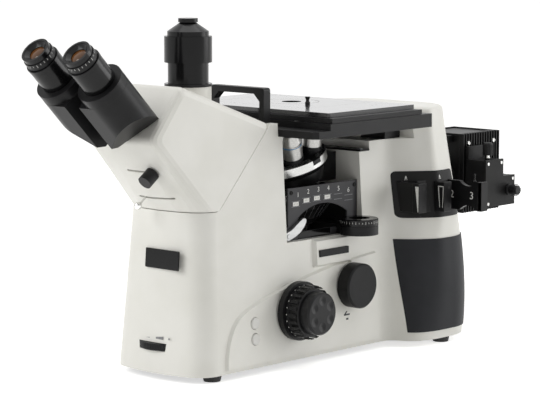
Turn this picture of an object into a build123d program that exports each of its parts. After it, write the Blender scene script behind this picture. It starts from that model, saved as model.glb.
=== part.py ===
from build123d import *
import os
from math import atan2, cos, radians, sin, sqrt, tan

os.makedirs("parts", exist_ok=True)

# An inverted microscope. X runs to the user's right, Y to the rear and Z up, all in millimetres. The stand
# stands on Z = 0, and X = 0 is the middle plane of the stand.

# Clearances shared by all pieces
running_gap = 0.05
slide_gap = 0.3
air_gap = 0.6
seam_gap = 0.9
overrun = 3.0
wall = 4.0

# Stand: front column, base and rear block
foot_height = 8.0
foot_top_radius = 12.0
foot_bottom_radius = 10.0
front_foot_x = 60.0
rear_foot_x = 101.0
rear_foot_y = 193.0
post_top = 296.0
base_half_width = 75.5
side_draft_share = 0.065
front_reach = 232.0
foot_setback = 42.0
front_foot_y = foot_setback - front_reach
front_draft_share = 0.07
front_bow = 14.0
front_corner = 30.0
join_y = 98.0
seam_rear_y = -84.0
seam_setback = 52.0
seam_reach = front_reach - seam_setback + seam_rear_y
seam_low = post_top - seam_reach
base_plate_thickness = 3.0

# Bay of the nosepiece, cut through the stand from side to side
bay_front_y = -64.0
bay_rear_y = 78.0
bay_floor = 151.0
rear_block_top = 250.0
ledge_depth = 7.0

# Rear column
column_top = 300.6
column_knee = 145.0
column_waist = 225.0
column_half_low = 116.0
column_half_knee = 113.0
column_half_waist = 101.0
column_half_top = 90.0
column_rear_low = 254.0
column_rear_knee = 251.0
column_rear_waist = 246.5
column_rear_top = 242.0
column_corner = 55.0
flare_start_y = 105.0
flare_start_rise = 23.0
flare_length_low = 81.5
flare_length_top = 80.0
low_flare_shares = ((0.38, 0.23), (0.77, 0.37), (0.965, 0.63))
top_flare_shares = ((0.20, 0.35), (0.50, 0.62), (0.80, 0.82))
shoulder_z = 262.0
shoulder_y = 162.5
column_edge_round = 5.0

# Head shell: corners of its side profile and the roundings of its long edges
nose_overhang = 51.7
nose_y = -front_reach - nose_overhang
nose_z = 289.2
apex_setback = 1.3
apex_y = apex_setback - front_reach
apex_z = 350.0
side_foot_setback = 29.0
head_edge = 9.0
head_wall = 3.0
head_bow_shares = ((0.0, 0.0), (0.45, 0.09), (0.75, 0.30), (0.86, 0.48), (0.93, 0.66), (0.975, 0.82), (1.0, 1.0))

# Binocular viewing tubes
tube_angle = 45.0
eye_half_spacing = 33.8
eye_ring_lead = 95.7
eye_ring_y = nose_y - eye_ring_lead
eye_ring_z = 395.0
pivot_rise = 16.2
housing_radius = 28.4
housing_flat_x = 4.0
housing_flat_low_x = 12.0
housing_start = 50.0
housing_bore = 16.0
housing_wall = 3.5
housing_face_gap = 1.2
collar_length = 13.0
bevel_near_x = 12.5
bevel_near_rise = -16.5
bevel_far_x = 48.6
bevel_far_rise = 26.9
bevel_run = 28.0
bevel_rise = 33.0
lug_starts = (66.0, 80.0)
pivot_pin_top = 62.0
pivot_pin_radius = 2.0
pivot_lug_radius = 3.6
pivot_lug_length = 12.0
eye_ring_radius = 17.5
eye_ring_length = 6.0
dioptre_radius = 18.6
dioptre_length = 9.0
eyepiece_radius = 20.3
eyepiece_plug = 22.0
eyepiece_core_radius = 15.5
eyepiece_clear_radius = 11.0
eye_lens_radius = 14.5
eye_lens_thickness = 4.0
dioptre_turn_gap = 0.4

# Camera port
port_setback = 64.7
port_y = apex_y + port_setback
port_top = 343.6
port_radius = 27.5
port_bore = 21.0
adapter_tube_radius = 24.3
adapter_tube_height = 28.4
adapter_ring_low = port_top + adapter_tube_height
adapter_ring_height = 31.0
adapter_ring_top = adapter_ring_low + adapter_ring_height
adapter_ring_radius = 28.5
adapter_shoulder_height = 5.7
adapter_shoulder_top = adapter_ring_top + adapter_shoulder_height
adapter_neck_radius = 9.6
adapter_cone_height = 10.3
adapter_neck_z = adapter_shoulder_top + adapter_cone_height
adapter_wall = 4.0
adapter_plug = 10.0
adapter_flange = 3.5
port_cap_radius = 11.8
port_cap_height = 5.0
port_cap_top = adapter_neck_z + port_cap_height
port_cap_stem = 6.0
adapter_mouth_radius = 8.0
adapter_cone_radius = 24.8

# Carry handle behind the head
handle_half_width = 45.5
handle_front_y = -83.0
handle_thickness = 11.5
handle_bar = 7.5
handle_top = 338.3
handle_inner_corner = 9.0

# Stage, from the fixed base to the drop-in insert
stage_half_width = 118.0
stage_front_y = -70.4
stage_rear_y = 149.7
stage_bottom = 280.0
stage_lip = 8.8
stage_step_z = stage_bottom + stage_lip
stage_base_thickness = 16.8
stage_base_top = stage_bottom + stage_base_thickness
stage_step_y = -44.4
stage_chamfer = 5.5
stage_window_half = 64.0
stage_window_front_y = -42.0
stage_window_rear_y = 76.0
pillar_inner_x = 30.0
pillar_outer_x = 54.0
pillar_front_y = 80.0
pillar_rear_y = 96.0
y_plate_half_width = 117.0
y_plate_front_y = -40.0
y_plate_rear_y = 131.0
y_plate_thickness = 5.8
y_plate_top = stage_base_top + slide_gap + y_plate_thickness
y_window_half = 76.0
y_window_front_y = -18.0
y_window_rear_y = 112.0
x_plate_left_x = -158.0
x_plate_right_x = 105.0
x_plate_front_y = -32.6
x_plate_rear_y = 131.8
x_plate_thickness = 5.2
x_plate_top = y_plate_top + slide_gap + x_plate_thickness
recess_left_x = -118.0
recess_right_x = 42.0
recess_front_y = 1.0
recess_rear_y = 121.0
recess_corner = 3.0
recess_ledge = 3.0
recess_ledge_thickness = 1.6
insert_hole_radius = 12.5
insert_ring_radius = 35.0
insert_ring_depth = 0.8
clip_post_x = 6.3
clip_post_y = 41.3
clip_post_radius = 3.2
clip_post_height = 10.0
drive_x = -134.0
drive_y = -10.0
drive_boss_radius = 13.0
drive_boss_length = 16.0
y_knob_radius = 15.0
y_knob_length = 24.0
x_knob_radius = 11.5
x_knob_length = 22.0
drive_sleeve_radius = 6.0
drive_shaft_radius = 3.0

# Optical axis, nosepiece and objectives
optic_y = 36.0
turret_tilt = 18.0
hole_circle_radius = 34.5
turret_radius = 52.0
turret_depth = 22.0
turret_rim = 10.5
turret_top_radius = 15.0
turret_foot_radius = 46.0
shoulder_height = 261.8
thread_radius = 12.5
thread_length = 5.0
seat_rim = 2.5
seat_lift = 0.6
turret_bore = 11.0
turret_hub_radius = 6.0
turret_hub_length = 12.0
bracket_radius = 47.0
bracket_depth = 16.0
bracket_low_radius = 42.0
slide_block_half = 22.0
slide_block_front_y = 48.0
slide_block_low = 213.0
slide_block_high = 248.0
objective_body_radius = 13.5
objective_lengths = (33.5, 31.0, 28.0, 22.0)
objective_tip_radii = (5.5, 7.0, 9.5, 11.0)
objective_places = (2, 1, 0, 5)

# Number panel and contrast turret in the bay
panel_x = 57.0
panel_thickness = 2.5
panel_front_y = -52.0
panel_rear_y = 77.4
panel_top = 215.0
arch_front_y = -34.0
arch_rear_y = 58.0
arch_low_z = 160.0
arch_side_z = 178.0
arch_top_z = 192.0
wheel_y = 12.0
wheel_low_radius = 54.0
wheel_high_radius = 40.0
wheel_low_z = 177.0
wheel_high_z = 195.0
wheel_rim_height = 6.0
wheel_sides = 18
wheel_hole_radius = 10.0
wheel_holes = 6
wheel_post_radius = 9.0
wheel_pin_radius = 5.0

# Polariser in its tray, analyser slider and light path lever
polariser_x = 81.4
polariser_y = 53.0
polariser_radius = 23.8
polariser_ring_low = 163.0
polariser_ring_top = 171.5
polariser_hole_radius = 13.0
tray_thickness = 11.5
tray_half_depth = 14.0
tray_inner_x = 10.0
tray_rise = 0.4
analyser_y = 15.0
analyser_half_depth = 27.0
analyser_low = 128.6
analyser_high = 136.8
analyser_proud = 1.5
analyser_hole_radius = 4.5
analyser_inner_x = -20.0
boss_half_depth = 34.0
boss_low = 116.0
boss_proud = 5.0
boss_bevel = 3.0
lever_y = -56.0
lever_z = 157.5
lever_hub_radius = 5.5
lever_hub_length = 7.0
lever_width = 6.5
lever_tip_y = -30.0
lever_tip_z = 174.0
lever_pin_radius = 2.5

# Focus drive
focus_y = -58.3
focus_z = 69.4
tension_radius = 36.0
tension_length = 8.0
coarse_radius = 34.5
coarse_length = 18.0
coarse_ribs = 36
coarse_rib_depth = 0.9
fine_radius = 26.0
fine_length = 13.0
fine_dimples = 6
fine_dimple_radius = 6.0
fine_dimple_depth = 1.6
sleeve_radius = 8.0
fine_shaft_radius = 4.0
pinion_radius = 12.0
pinion_length = 16.0
pinion_teeth = 18
pinion_tooth_depth = 1.6

# Side covers with the side port and the push buttons
cover_proud = 3.6
cover_setback = 49.0
cover_front_y = cover_setback - front_reach
cover_low = 13.0
cover_bevel = 2.0
cover_shares = ((0.0, 0.0), (0.04, 0.40), (0.078, 0.52), (0.13, 0.60), (0.23, 0.685), (0.68, 0.92), (1.0, 1.0))
cover_rise = 111.0
side_port_y = 46.0
side_port_z = 88.0
side_port_radius = 28.0
side_port_length = 18.0
side_port_bore = 19.0
side_port_stem = 8.0
side_port_wall = 3.0
button_y = -132.0
button_upper_z = 62.7
button_lower_z = 43.7
button_radius = 6.8
button_travel = 2.0
button_proud = 2.2
button_length = 8.0

# Controls on the front: dial, beam selector knob and ball lever
dial_z = 39.8
dial_radius = 40.0
dial_height = 8.4
dial_proud = 4.5
dial_hub_radius = 3.0
dial_y = -front_reach + front_draft_share * (dial_z - foot_height) - dial_proud + dial_radius
beam_slot_left_x = -14.0
beam_slot_right_x = 31.0
beam_slot_share = 0.45
beam_slot_height = 2.8
beam_knob_radius = 8.6
beam_knob_length = 17.0
beam_stem_radius = 1.2
stem_flange_radius = 4.0
stem_flange_thickness = 1.5
beam_knob_x = 28.0
ball_slot_left_x = -20.0
ball_slot_right_x = 37.0
ball_slot_share = 0.83
ball_radius = 4.6
ball_rod_radius = 1.2
ball_reach = 15.0
ball_x = -9.0

# Illuminator panel, its sliders, the lamp house and its mount
panel_proud = 1.2
panel_set_in = 2.0
side_panel_y = 133.0
side_panel_rear_low_y = 222.0
side_panel_rear_top_y = 213.0
side_panel_low = 162.5
side_panel_high = 221.0
side_panel_round = 6.0
rear_panel_y = 129.0
rear_panel_low = 19.0
rear_panel_high = 136.0
rear_panel_half_gap = 62.0
slider_low = 171.0
slider_high = 208.0
slider_z = 189.5
field_y = 141.0
field_half_depth = 5.5
aperture_y = 178.0
aperture_half_depth = 7.0
slider_inner_x = -15.0
slider_push = 10.0
slider_block_width = 13.0
field_outer_x = 122.0
aperture_outer_x = 124.0
slider_plate_half = 3.0
slider_hole_radius = 11.0
filter_y = 204.0
filter_outer_x = 158.0
filter_block_depth = 15.0
filter_block_width = 9.0
filter_cell_radius = 18.5
filter_glass_radius = 13.0
filter_cell_x = 139.0
filter_pitch = 31.0
filter_cells = 5
illuminator_z = 189.5
illuminator_radius = 21.0
illuminator_front_y = 82.5
illuminator_wall = 3.5
mount_tube_radius = 27.0
mount_flange_radius = 36.0
mount_flange_thickness = 6.0
lamp_half_width = 39.0
lamp_front_y = 318.0
lamp_rear_y = 396.0
lamp_low = 148.0
lamp_high = 250.0
lamp_wall = 3.0
lamp_lid_top = 253.0
lamp_lid_overhang = 1.5
fin_count = 9
fin_depth = 7.0
fin_share = 0.42
holder_outer_x = 75.0
holder_front_y = 322.0
holder_rear_y = 384.0
holder_low = 157.0
holder_high = 219.0
holder_step_y = 357.0
holder_step_z = 197.6
holder_lip = 3.0
lamp_knob_radius = 5.5
lamp_knob_length = 12.0
lamp_screw_radius = 2.5
holder_plate = 3.0
bulb_radius = 6.0
bulb_height = 30.0
bulb_socket_height = 25.0
inlet_x = 40.0
inlet_z = 50.0
inlet_half_width = 14.0
inlet_half_height = 10.0
inlet_lip = 2.0
inlet_depth = 18.0
pin_half_width = 1.2


def block(low, high, mode=Mode.ADD):
    """Adds a straight block between two opposite corners to the part in hand."""
    middle = tuple((a + b) / 2 for a, b in zip(low, high))
    with Locations(middle):
        Box(*(b - a for a, b in zip(low, high)), mode=mode)


def outline(plane, points, radius=0):
    """A flat face with the given corners, each rounded by radius or by its own one of a list."""
    with BuildSketch(plane) as drawn:
        with BuildLine():
            FilletPolyline(*points, radius=radius, close=True)
        make_face()
    return drawn.sketch


def turn(origin, direction, points, mode=Mode.ADD):
    """Adds a turned piece. Its profile points are (radius, distance along the axis) from the origin."""
    along = Vector(*direction).normalized()
    sideways = Vector(0, 0, 1).cross(along)
    if sideways.length < abs(along.Z) * running_gap:
        sideways = Vector(1, 0, 0)
    sideways = sideways.normalized()
    plane = Plane(origin=origin, x_dir=sideways, z_dir=sideways.cross(along))
    revolve(outline(plane, points), axis=Axis(origin, direction), mode=mode)


def rod(origin, direction, radius, length, mode=Mode.ADD):
    """Adds a plain round rod that starts at the origin."""
    turn(origin, direction, ((0, 0), (radius, 0), (radius, length), (0, length)), mode=mode)


def keep(builder, label):
    """Names the finished sub-part and writes its file."""
    builder.part.label = label
    export_step(builder.part, f"parts/{label}.step")


def along(origin, direction, distance):
    """The point a distance along a direction from an origin."""
    return tuple(o + d * distance for o, d in zip(origin, direction))


def half_width(z):
    """Half the width of the stand's front part at a height: its sides lean in."""
    return base_half_width - side_draft_share * (z - foot_height)


def front_y(z):
    """How far forward the middle of the stand's front reaches at a height."""
    return -front_reach + front_draft_share * (z - foot_height)


def frame_outline(z, inset):
    """Plan of the front part at a height, set in by a wall: a bowed front with round corners."""
    w = half_width(z) - inset
    y = front_y(z) + inset
    with BuildSketch(Plane.XY.offset(z)) as plan:
        with BuildLine():
            ThreePointArc((-w, y + front_bow), (0, y), (w, y + front_bow))
            Polyline((w, y + front_bow), (w, join_y), (-w, join_y), (-w, y + front_bow))
        make_face()
        fillet(plan.vertices().group_by(Axis.Y)[0], radius=front_corner - inset)
    return plan.sketch


lean = atan2(side_draft_share, 1)
side_plane = Plane(origin=(half_width(0), 0, 0), x_dir=(0, 1, 0), z_dir=(cos(lean), 0, sin(lean)))


def boss_face(offset, inset):
    """Outline of the analyser boss on the right side, set in by its bevel."""
    low, high = boss_low + inset, bay_floor - inset
    front, rear = analyser_y - boss_half_depth + inset, analyser_y + boss_half_depth - inset
    return outline(side_plane.offset(offset), ((front, low), (rear, low), (rear, high), (front, high)))


# Main frame: one casting with the front column, the hollow base, the bay and the rear block
with BuildPart() as frame_hollow:
    loft([frame_outline(foot_height - overrun, wall), frame_outline(post_top, wall)], ruled=True)
    block((-base_half_width, bay_front_y - wall, bay_floor - wall),
          (base_half_width, bay_rear_y + wall, post_top + overrun), mode=Mode.SUBTRACT)
    block((-base_half_width, bay_rear_y, rear_block_top - wall),
          (base_half_width, join_y + overrun, post_top + overrun), mode=Mode.SUBTRACT)
    block((-base_half_width, join_y - wall, foot_height - overrun * 2),
          (base_half_width, join_y + overrun, post_top + overrun), mode=Mode.SUBTRACT)
    extrude(outline(Plane.YZ, ((seam_rear_y, post_top - wall * sqrt(2)),
                               (seam_rear_y - seam_reach, seam_low - wall * sqrt(2)),
                               (-front_reach * 2, seam_low - wall * sqrt(2)),
                               (-front_reach * 2, post_top + wall), (0, post_top + wall),
                               (0, post_top - wall * sqrt(2)))),
            amount=base_half_width, both=True, mode=Mode.SUBTRACT)

seam_line = ((seam_rear_y - seam_gap * sqrt(2), post_top), (seam_rear_y - seam_reach, seam_low))
with BuildPart() as main_frame:
    loft([frame_outline(foot_height, 0), frame_outline(post_top, 0)], ruled=True)
    add(frame_hollow.part, mode=Mode.SUBTRACT)
    extrude(outline(Plane.YZ, ((seam_rear_y, post_top), (seam_rear_y - seam_reach, seam_low),
                               (-front_reach * 2, seam_low), (-front_reach * 2, post_top + overrun),
                               (seam_rear_y, post_top + overrun)), radius=(0, front_corner / 2, 0, 0, 0)),
            amount=base_half_width, both=True, mode=Mode.SUBTRACT)
    block((-base_half_width - overrun, bay_front_y, bay_floor),
          (base_half_width + overrun, bay_rear_y, post_top + overrun), mode=Mode.SUBTRACT)
    block((-base_half_width, bay_rear_y - overrun, rear_block_top),
          (base_half_width, join_y + overrun, post_top + overrun), mode=Mode.SUBTRACT)
    block((-base_half_width, bay_front_y - ledge_depth, stage_bottom),
          (base_half_width, bay_front_y + overrun, post_top + overrun), mode=Mode.SUBTRACT)
    loft([boss_face(-wall, 0), boss_face(0, 0)], ruled=True)
    loft([boss_face(0, 0), boss_face(boss_proud, boss_bevel)], ruled=True)
    for side in (-1, 1):
        rod((side * base_half_width / 2, focus_y, focus_z), (side, 0, 0), sleeve_radius + running_gap,
            base_half_width, mode=Mode.SUBTRACT)
    rod((base_half_width / 2, side_port_y, side_port_z), (1, 0, 0), side_port_bore, base_half_width,
        mode=Mode.SUBTRACT)
    for z in (button_upper_z, button_lower_z):
        rod((base_half_width / 2, button_y, z), (1, 0, 0), button_radius + air_gap, base_half_width,
            mode=Mode.SUBTRACT)
    block((0, analyser_y - analyser_half_depth - slide_gap, analyser_low - slide_gap),
          (base_half_width, analyser_y + analyser_half_depth + slide_gap, analyser_high + slide_gap),
          mode=Mode.SUBTRACT)
    rod((0, dial_y, dial_z - dial_height / 2 - air_gap), (0, 0, 1), dial_radius + air_gap,
        dial_height + air_gap * 2, mode=Mode.SUBTRACT)
    rod((0, optic_y, bay_floor - wall - overrun), (0, 0, 1), wheel_hole_radius, wall + overrun * 2,
        mode=Mode.SUBTRACT)
    rod((0, join_y - wall - overrun, illuminator_z), (0, 1, 0), illuminator_radius + slide_gap,
        wall + overrun * 2, mode=Mode.SUBTRACT)
    rod((0, bay_rear_y - overrun, illuminator_z), (0, 1, 0), illuminator_radius - illuminator_wall,
        wall + overrun * 2, mode=Mode.SUBTRACT)
    rod((0, wheel_y, bay_floor), (0, 0, 1), wheel_post_radius, wheel_low_z - slide_gap - bay_floor)
    rod((0, wheel_y, bay_floor), (0, 0, 1), wheel_pin_radius, wheel_high_z - bay_floor)
keep(main_frame, "main_frame")


def share_points(low, high, t):
    """Blends two lists of shares."""
    return tuple((a[0] + (b[0] - a[0]) * t, a[1] + (b[1] - a[1]) * t) for a, b in zip(low, high))


def column_outline(z, half, rear, inset):
    """Plan of the rear column at a height: it flares out of the front part and turns round to its back."""
    t = (z - foot_height) / (column_top - foot_height)
    start = (half_width(z) - inset, flare_start_y + flare_start_rise * t)
    side = half - inset
    corner = column_corner - inset
    length = flare_length_low + (flare_length_top - flare_length_low) * t - flare_start_rise * t
    spots = [start]
    for across, back in share_points(low_flare_shares, top_flare_shares, t):
        spots.append((start[0] + (side - start[0]) * across, start[1] + length * back))
    spots.append((side, start[1] + length))
    back_y = rear - inset
    turn_y = back_y - corner
    with BuildSketch(Plane.XY.offset(z)) as plan:
        with BuildLine() as right:
            Line((0, join_y + inset), (start[0], join_y + inset))
            Line((start[0], join_y + inset), start)
            flare = Spline(*spots, tangents=((0, 1), (0, 1)))
            Line(flare @ 1, (side, turn_y))
            RadiusArc((side, turn_y), (side - corner, back_y), -corner)
            Line((side - corner, back_y), (0, back_y))
            mirror(right.line, about=Plane.YZ)
        make_face()
    return plan.sketch


def column_form(inset, low=foot_height):
    """The outer form of the rear column, or its hollow when it is set in."""
    levels = ((low, column_half_low, column_rear_low), (column_knee, column_half_knee, column_rear_knee),
              (column_waist, column_half_waist, column_rear_waist),
              (column_top - inset, column_half_top, column_rear_top))
    return loft([column_outline(z, half, rear, inset) for z, half, rear in levels], mode=Mode.PRIVATE)


def column_skin(outer, inner):
    """A skin that follows the column, from an outer to an inner set-in."""
    return column_form(outer) - column_form(inner)


# Rear column: a hollow casting with a low shoulder that carries the back of the stage
with BuildPart() as column_hollow:
    add(column_form(wall, low=foot_height + wall))
    block((-column_half_low, join_y - overrun, shoulder_z - wall),
          (column_half_low, shoulder_y + wall, column_top + overrun), mode=Mode.SUBTRACT)

with BuildPart() as rear_column:
    add(column_form(0))
    add(column_hollow.part, mode=Mode.SUBTRACT)
    block((-column_half_low, join_y - overrun, shoulder_z),
          (column_half_low, shoulder_y, column_top + overrun), mode=Mode.SUBTRACT)
    fillet(rear_column.faces().sort_by(Axis.Z)[-1].outer_wire().edges(), radius=column_edge_round)
    for y in (field_y, aperture_y, filter_y):
        block((0, y - slider_plate_half - slide_gap, slider_low - slide_gap),
              (column_half_low * 2, y + slider_plate_half + slide_gap, slider_high + slide_gap),
              mode=Mode.SUBTRACT)
    rod((0, join_y - overrun, illuminator_z), (0, 1, 0), illuminator_radius + slide_gap,
        column_rear_low, mode=Mode.SUBTRACT)
    block((inlet_x - inlet_half_width, column_rear_low - wall * 3, inlet_z - inlet_half_height),
          (inlet_x + inlet_half_width, column_rear_low + overrun, inlet_z + inlet_half_height),
          mode=Mode.SUBTRACT)
keep(rear_column, "rear_column")

# Base plate that closes the frame from below, and the rubber feet
with BuildPart() as base_plate:
    extrude(frame_outline(foot_height, wall + slide_gap), amount=base_plate_thickness)
    block((-base_half_width, join_y - wall - slide_gap, foot_height),
          (base_half_width, join_y + overrun, foot_height + base_plate_thickness), mode=Mode.SUBTRACT)
    rod((0, dial_y, foot_height), (0, 0, 1), dial_hub_radius * 2, dial_z - dial_height / 2 - slide_gap - foot_height)
    rod((0, dial_y, foot_height), (0, 0, 1), dial_hub_radius, dial_z + dial_height / 2 - foot_height)
keep(base_plate, "base_plate")

with BuildPart() as feet:
    for x, y in ((front_foot_x, front_foot_y), (rear_foot_x, rear_foot_y)):
        for side in (-1, 1):
            turn((side * x, y, 0), (0, 0, 1), ((0, 0), (foot_bottom_radius, 0), (foot_top_radius, foot_height),
                                               (0, foot_height)))
keep(feet, "feet")

# Side covers, proud of the frame, with a bevelled edge that follows the front and rises to the rear
cover_length = join_y - cover_front_y


def cover_face(plane, inset):
    """Outline of a side cover, set in by its bevel."""
    points = [(cover_front_y + inset, cover_low)]
    points += [(cover_front_y + inset + cover_length * a, cover_low + cover_rise * b - inset)
               for a, b in cover_shares[1:-1]]
    points += [(join_y, cover_low + cover_rise - inset), (join_y, cover_low)]
    with BuildSketch(plane) as drawn:
        with BuildLine():
            Spline(*points[:-1])
            Polyline(points[-2], points[-1], points[0])
        make_face()
    return drawn.sketch


with BuildPart() as side_covers:
    loft([cover_face(side_plane, 0), cover_face(side_plane.offset(cover_proud), cover_bevel)], ruled=True)
    mirror(side_covers.part, about=Plane.YZ)
    for side in (-1, 1):
        rod((side * base_half_width / 2, focus_y, focus_z), (side, 0, 0), sleeve_radius + air_gap,
            base_half_width, mode=Mode.SUBTRACT)
    rod((base_half_width / 2, side_port_y, side_port_z), (1, 0, 0), side_port_bore, base_half_width,
        mode=Mode.SUBTRACT)
    for z in (button_upper_z, button_lower_z):
        rod((base_half_width / 2, button_y, z), (1, 0, 0), button_radius + air_gap, base_half_width,
            mode=Mode.SUBTRACT)
    block((0, analyser_y - boss_half_depth - air_gap, boss_low - air_gap),
          (base_half_width * 2, analyser_y + boss_half_depth + air_gap, bay_floor), mode=Mode.SUBTRACT)
keep(side_covers, "side_covers")

# Dark rear side panels that wrap the corners of the column
with BuildPart() as rear_side_panels:
    add(column_skin(-panel_proud, -running_gap))
    block((-column_half_low * 2, rear_panel_y, rear_panel_low), (column_half_low * 2, column_rear_low * 2,
                                                             rear_panel_high), mode=Mode.INTERSECT)
    block((-rear_panel_half_gap, rear_panel_y, rear_panel_low), (rear_panel_half_gap, column_rear_low * 2,
                                                                 rear_panel_high), mode=Mode.SUBTRACT)
keep(rear_side_panels, "rear_side_panels")

# Illuminator panel on the right side of the column
panel_corners = ((side_panel_y, side_panel_low), (side_panel_rear_low_y, side_panel_low),
                 (side_panel_rear_top_y, side_panel_high), (side_panel_y, side_panel_high))
with BuildPart() as illuminator_panel:
    add(column_skin(-panel_proud, -running_gap))
    extrude(outline(Plane.YZ, panel_corners, radius=side_panel_round), amount=column_half_low * 2,
            mode=Mode.INTERSECT)
    for y in (field_y, aperture_y, filter_y):
        block((0, y - slider_plate_half - slide_gap, slider_low - slide_gap),
              (column_half_low * 2, y + slider_plate_half + slide_gap, slider_high + slide_gap),
              mode=Mode.SUBTRACT)
keep(illuminator_panel, "illuminator_panel")

# Head shell, built from side profiles on planes that lean with the sides of the stand
lean_top = foot_height + base_half_width / side_draft_share
head_half_width = half_width(seam_low)


def shifted(corners, steps):
    """Corners of a polygon whose edges are each moved inward by their own step."""
    moved = []
    count = len(corners)
    for i in range(count):
        a, b, c = (Vector(*corners[(i + k) % count]) for k in (-1, 0, 1))
        before, after = (b - a).normalized(), (c - b).normalized()
        p = a + Vector(-before.Y, before.X) * steps[i - 1]
        q = b + Vector(-after.Y, after.X) * steps[i]
        gap = q - p
        run = (gap.X * after.Y - gap.Y * after.X) / (before.X * after.Y - before.Y * after.X)
        hit = p + before * run
        moved.append((hit.X, hit.Y))
    return moved


def head_profile(share, inset):
    """Side profile of the head at a share of its half width, set in by a wall."""
    off_edge = (1 - share) * head_half_width
    round_in = head_edge - sqrt(max(head_edge ** 2 - max(head_edge - off_edge, 0) ** 2, 0))
    setback = side_foot_setback * next(b for a, b in head_bow_shares if a == share)
    foot_z = seam_low + seam_gap
    corners = ((front_y(seam_low) + setback, foot_z), (seam_rear_y - seam_reach, foot_z),
               (seam_rear_y, post_top + seam_gap), (apex_y, apex_z), (nose_y, nose_z))
    below = -inset if inset else 0
    moved = shifted(corners, (below, below, round_in + inset, round_in + inset, inset))
    apex, nose = Vector(*moved[3]), Vector(*moved[4])
    drawn_in = nose + (apex - nose).normalized() * round_in
    return moved[:4] + [(drawn_in.X, drawn_in.Y)]


def head_section(share, side, inset):
    """The profile on its leaning plane. The planes meet in one line high above the stand."""
    angle = side * atan2(share * side_draft_share * (head_half_width - inset) / head_half_width, 1)
    plane = Plane(origin=(0, 0, lean_top), x_dir=(0, 1, 0), z_dir=(cos(angle), 0, sin(angle)))
    points = [(y, (z - lean_top) / cos(angle)) for y, z in head_profile(share, inset)]
    edge = head_edge - inset
    return outline(plane, points, radius=(0, edge / 2, edge / 4, edge, edge))


def head_form(inset):
    shares = [(a, side) for side in (-1, 1) for a, b in head_bow_shares if a or side > 0]
    shares.sort(key=lambda item: item[0] * item[1])
    return loft([head_section(a, side, inset) for a, side in shares], ruled=True, mode=Mode.PRIVATE)


foot_corner = (front_y(seam_low), seam_low + seam_gap)
low_face_length = sqrt((foot_corner[0] - nose_y) ** 2 + (foot_corner[1] - nose_z) ** 2)
low_face_run = ((foot_corner[0] - nose_y) / low_face_length, (foot_corner[1] - nose_z) / low_face_length)
low_face_normal = (0, low_face_run[1], -low_face_run[0])
high_face_length = sqrt((apex_y - nose_y) ** 2 + (apex_z - nose_z) ** 2)
high_face_run = ((apex_y - nose_y) / high_face_length, (apex_z - nose_z) / high_face_length)
high_face_normal = (0, -high_face_run[1], high_face_run[0])
tube_axis = (0, -sin(radians(tube_angle)), cos(radians(tube_angle)))
tube_rise = (0, cos(radians(tube_angle)), sin(radians(tube_angle)))


def low_face_point(x, share):
    """A point of the head's lower front face, at a share of the way from the nose to the foot."""
    run = low_face_length * share
    return (x, nose_y + low_face_run[0] * run, nose_z + low_face_run[1] * run)


def head_top(y):
    """Height of the head's sloped top."""
    return apex_z + (post_top + seam_gap - apex_z) * (y - apex_y) / (seam_rear_y - apex_y)


def tube_point(x, rise, depth):
    """A point beside the viewing tubes: its rise across them and its depth below the top of the eye rings."""
    return along(along((x, eye_ring_y, eye_ring_z), tube_rise, rise), tube_axis, -depth)


def bottom_depth(rise):
    """Depth at which the head's upper front face, moved out by the gap, crosses the viewing tubes."""
    start = tube_point(0, rise, 0)
    face = along((0, nose_y, nose_z), high_face_normal, housing_face_gap)
    down = tuple(-a for a in tube_axis)
    gap = sum((f - s) * n for f, s, n in zip(face, start, high_face_normal))
    return gap / sum(d * n for d, n in zip(down, high_face_normal))


with BuildPart() as head_shell:
    add(head_form(0))
    add(head_form(head_wall), mode=Mode.SUBTRACT)
    rod((0, port_y, head_top(port_y) - port_radius), (0, 0, 1), port_bore, port_radius * 2, mode=Mode.SUBTRACT)
    for left, right, share in ((beam_slot_left_x, beam_slot_right_x, beam_slot_share),
                               (ball_slot_left_x, ball_slot_right_x, ball_slot_share)):
        slot_plane = Plane(origin=low_face_point(0, share), x_dir=(1, 0, 0), z_dir=low_face_normal)
        half = beam_slot_height / 2
        extrude(outline(slot_plane, ((left, -half), (right, -half), (right, half), (left, half))),
                amount=head_wall * 3, both=True, mode=Mode.SUBTRACT)
    rod(tube_point(0, pivot_rise, bottom_depth(pivot_rise) + head_wall * 4), tube_axis, pivot_pin_radius,
        head_wall * 8, mode=Mode.SUBTRACT)
keep(head_shell, "head_shell")

# Camera port on the head, with its adapter and dust cap
with BuildPart() as camera_port_base:
    turn((0, port_y, 0), (0, 0, 1), ((port_bore, seam_low), (port_radius, seam_low), (port_radius, port_top),
                                     (port_bore, port_top)))
    near_y, far_y = port_y - port_radius * 2, port_y + port_radius * 2
    extrude(outline(Plane.YZ, ((near_y, head_top(near_y)), (near_y, 0), (far_y, 0), (far_y, head_top(far_y)))),
            amount=port_radius * 2, both=True, mode=Mode.SUBTRACT)
keep(camera_port_base, "camera_port_base")

plug_radius = port_bore - running_gap
bore = port_bore - adapter_wall
with BuildPart() as camera_adapter:
    turn((0, port_y, 0), (0, 0, 1), (
        (bore, port_top - adapter_plug), (plug_radius, port_top - adapter_plug),
        (plug_radius, port_top + slide_gap), (adapter_ring_radius, port_top + slide_gap),
        (adapter_ring_radius, port_top + adapter_flange), (adapter_tube_radius, port_top + adapter_flange),
        (adapter_tube_radius, adapter_ring_low), (adapter_ring_radius, adapter_ring_low),
        (adapter_ring_radius, adapter_ring_top), (adapter_cone_radius, adapter_ring_top),
        (adapter_cone_radius, adapter_shoulder_top), (adapter_neck_radius, adapter_neck_z),
        (adapter_mouth_radius, adapter_neck_z), (adapter_mouth_radius, adapter_shoulder_top - adapter_wall),
        (bore, adapter_shoulder_top - adapter_wall)))
keep(camera_adapter, "camera_adapter")

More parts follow.
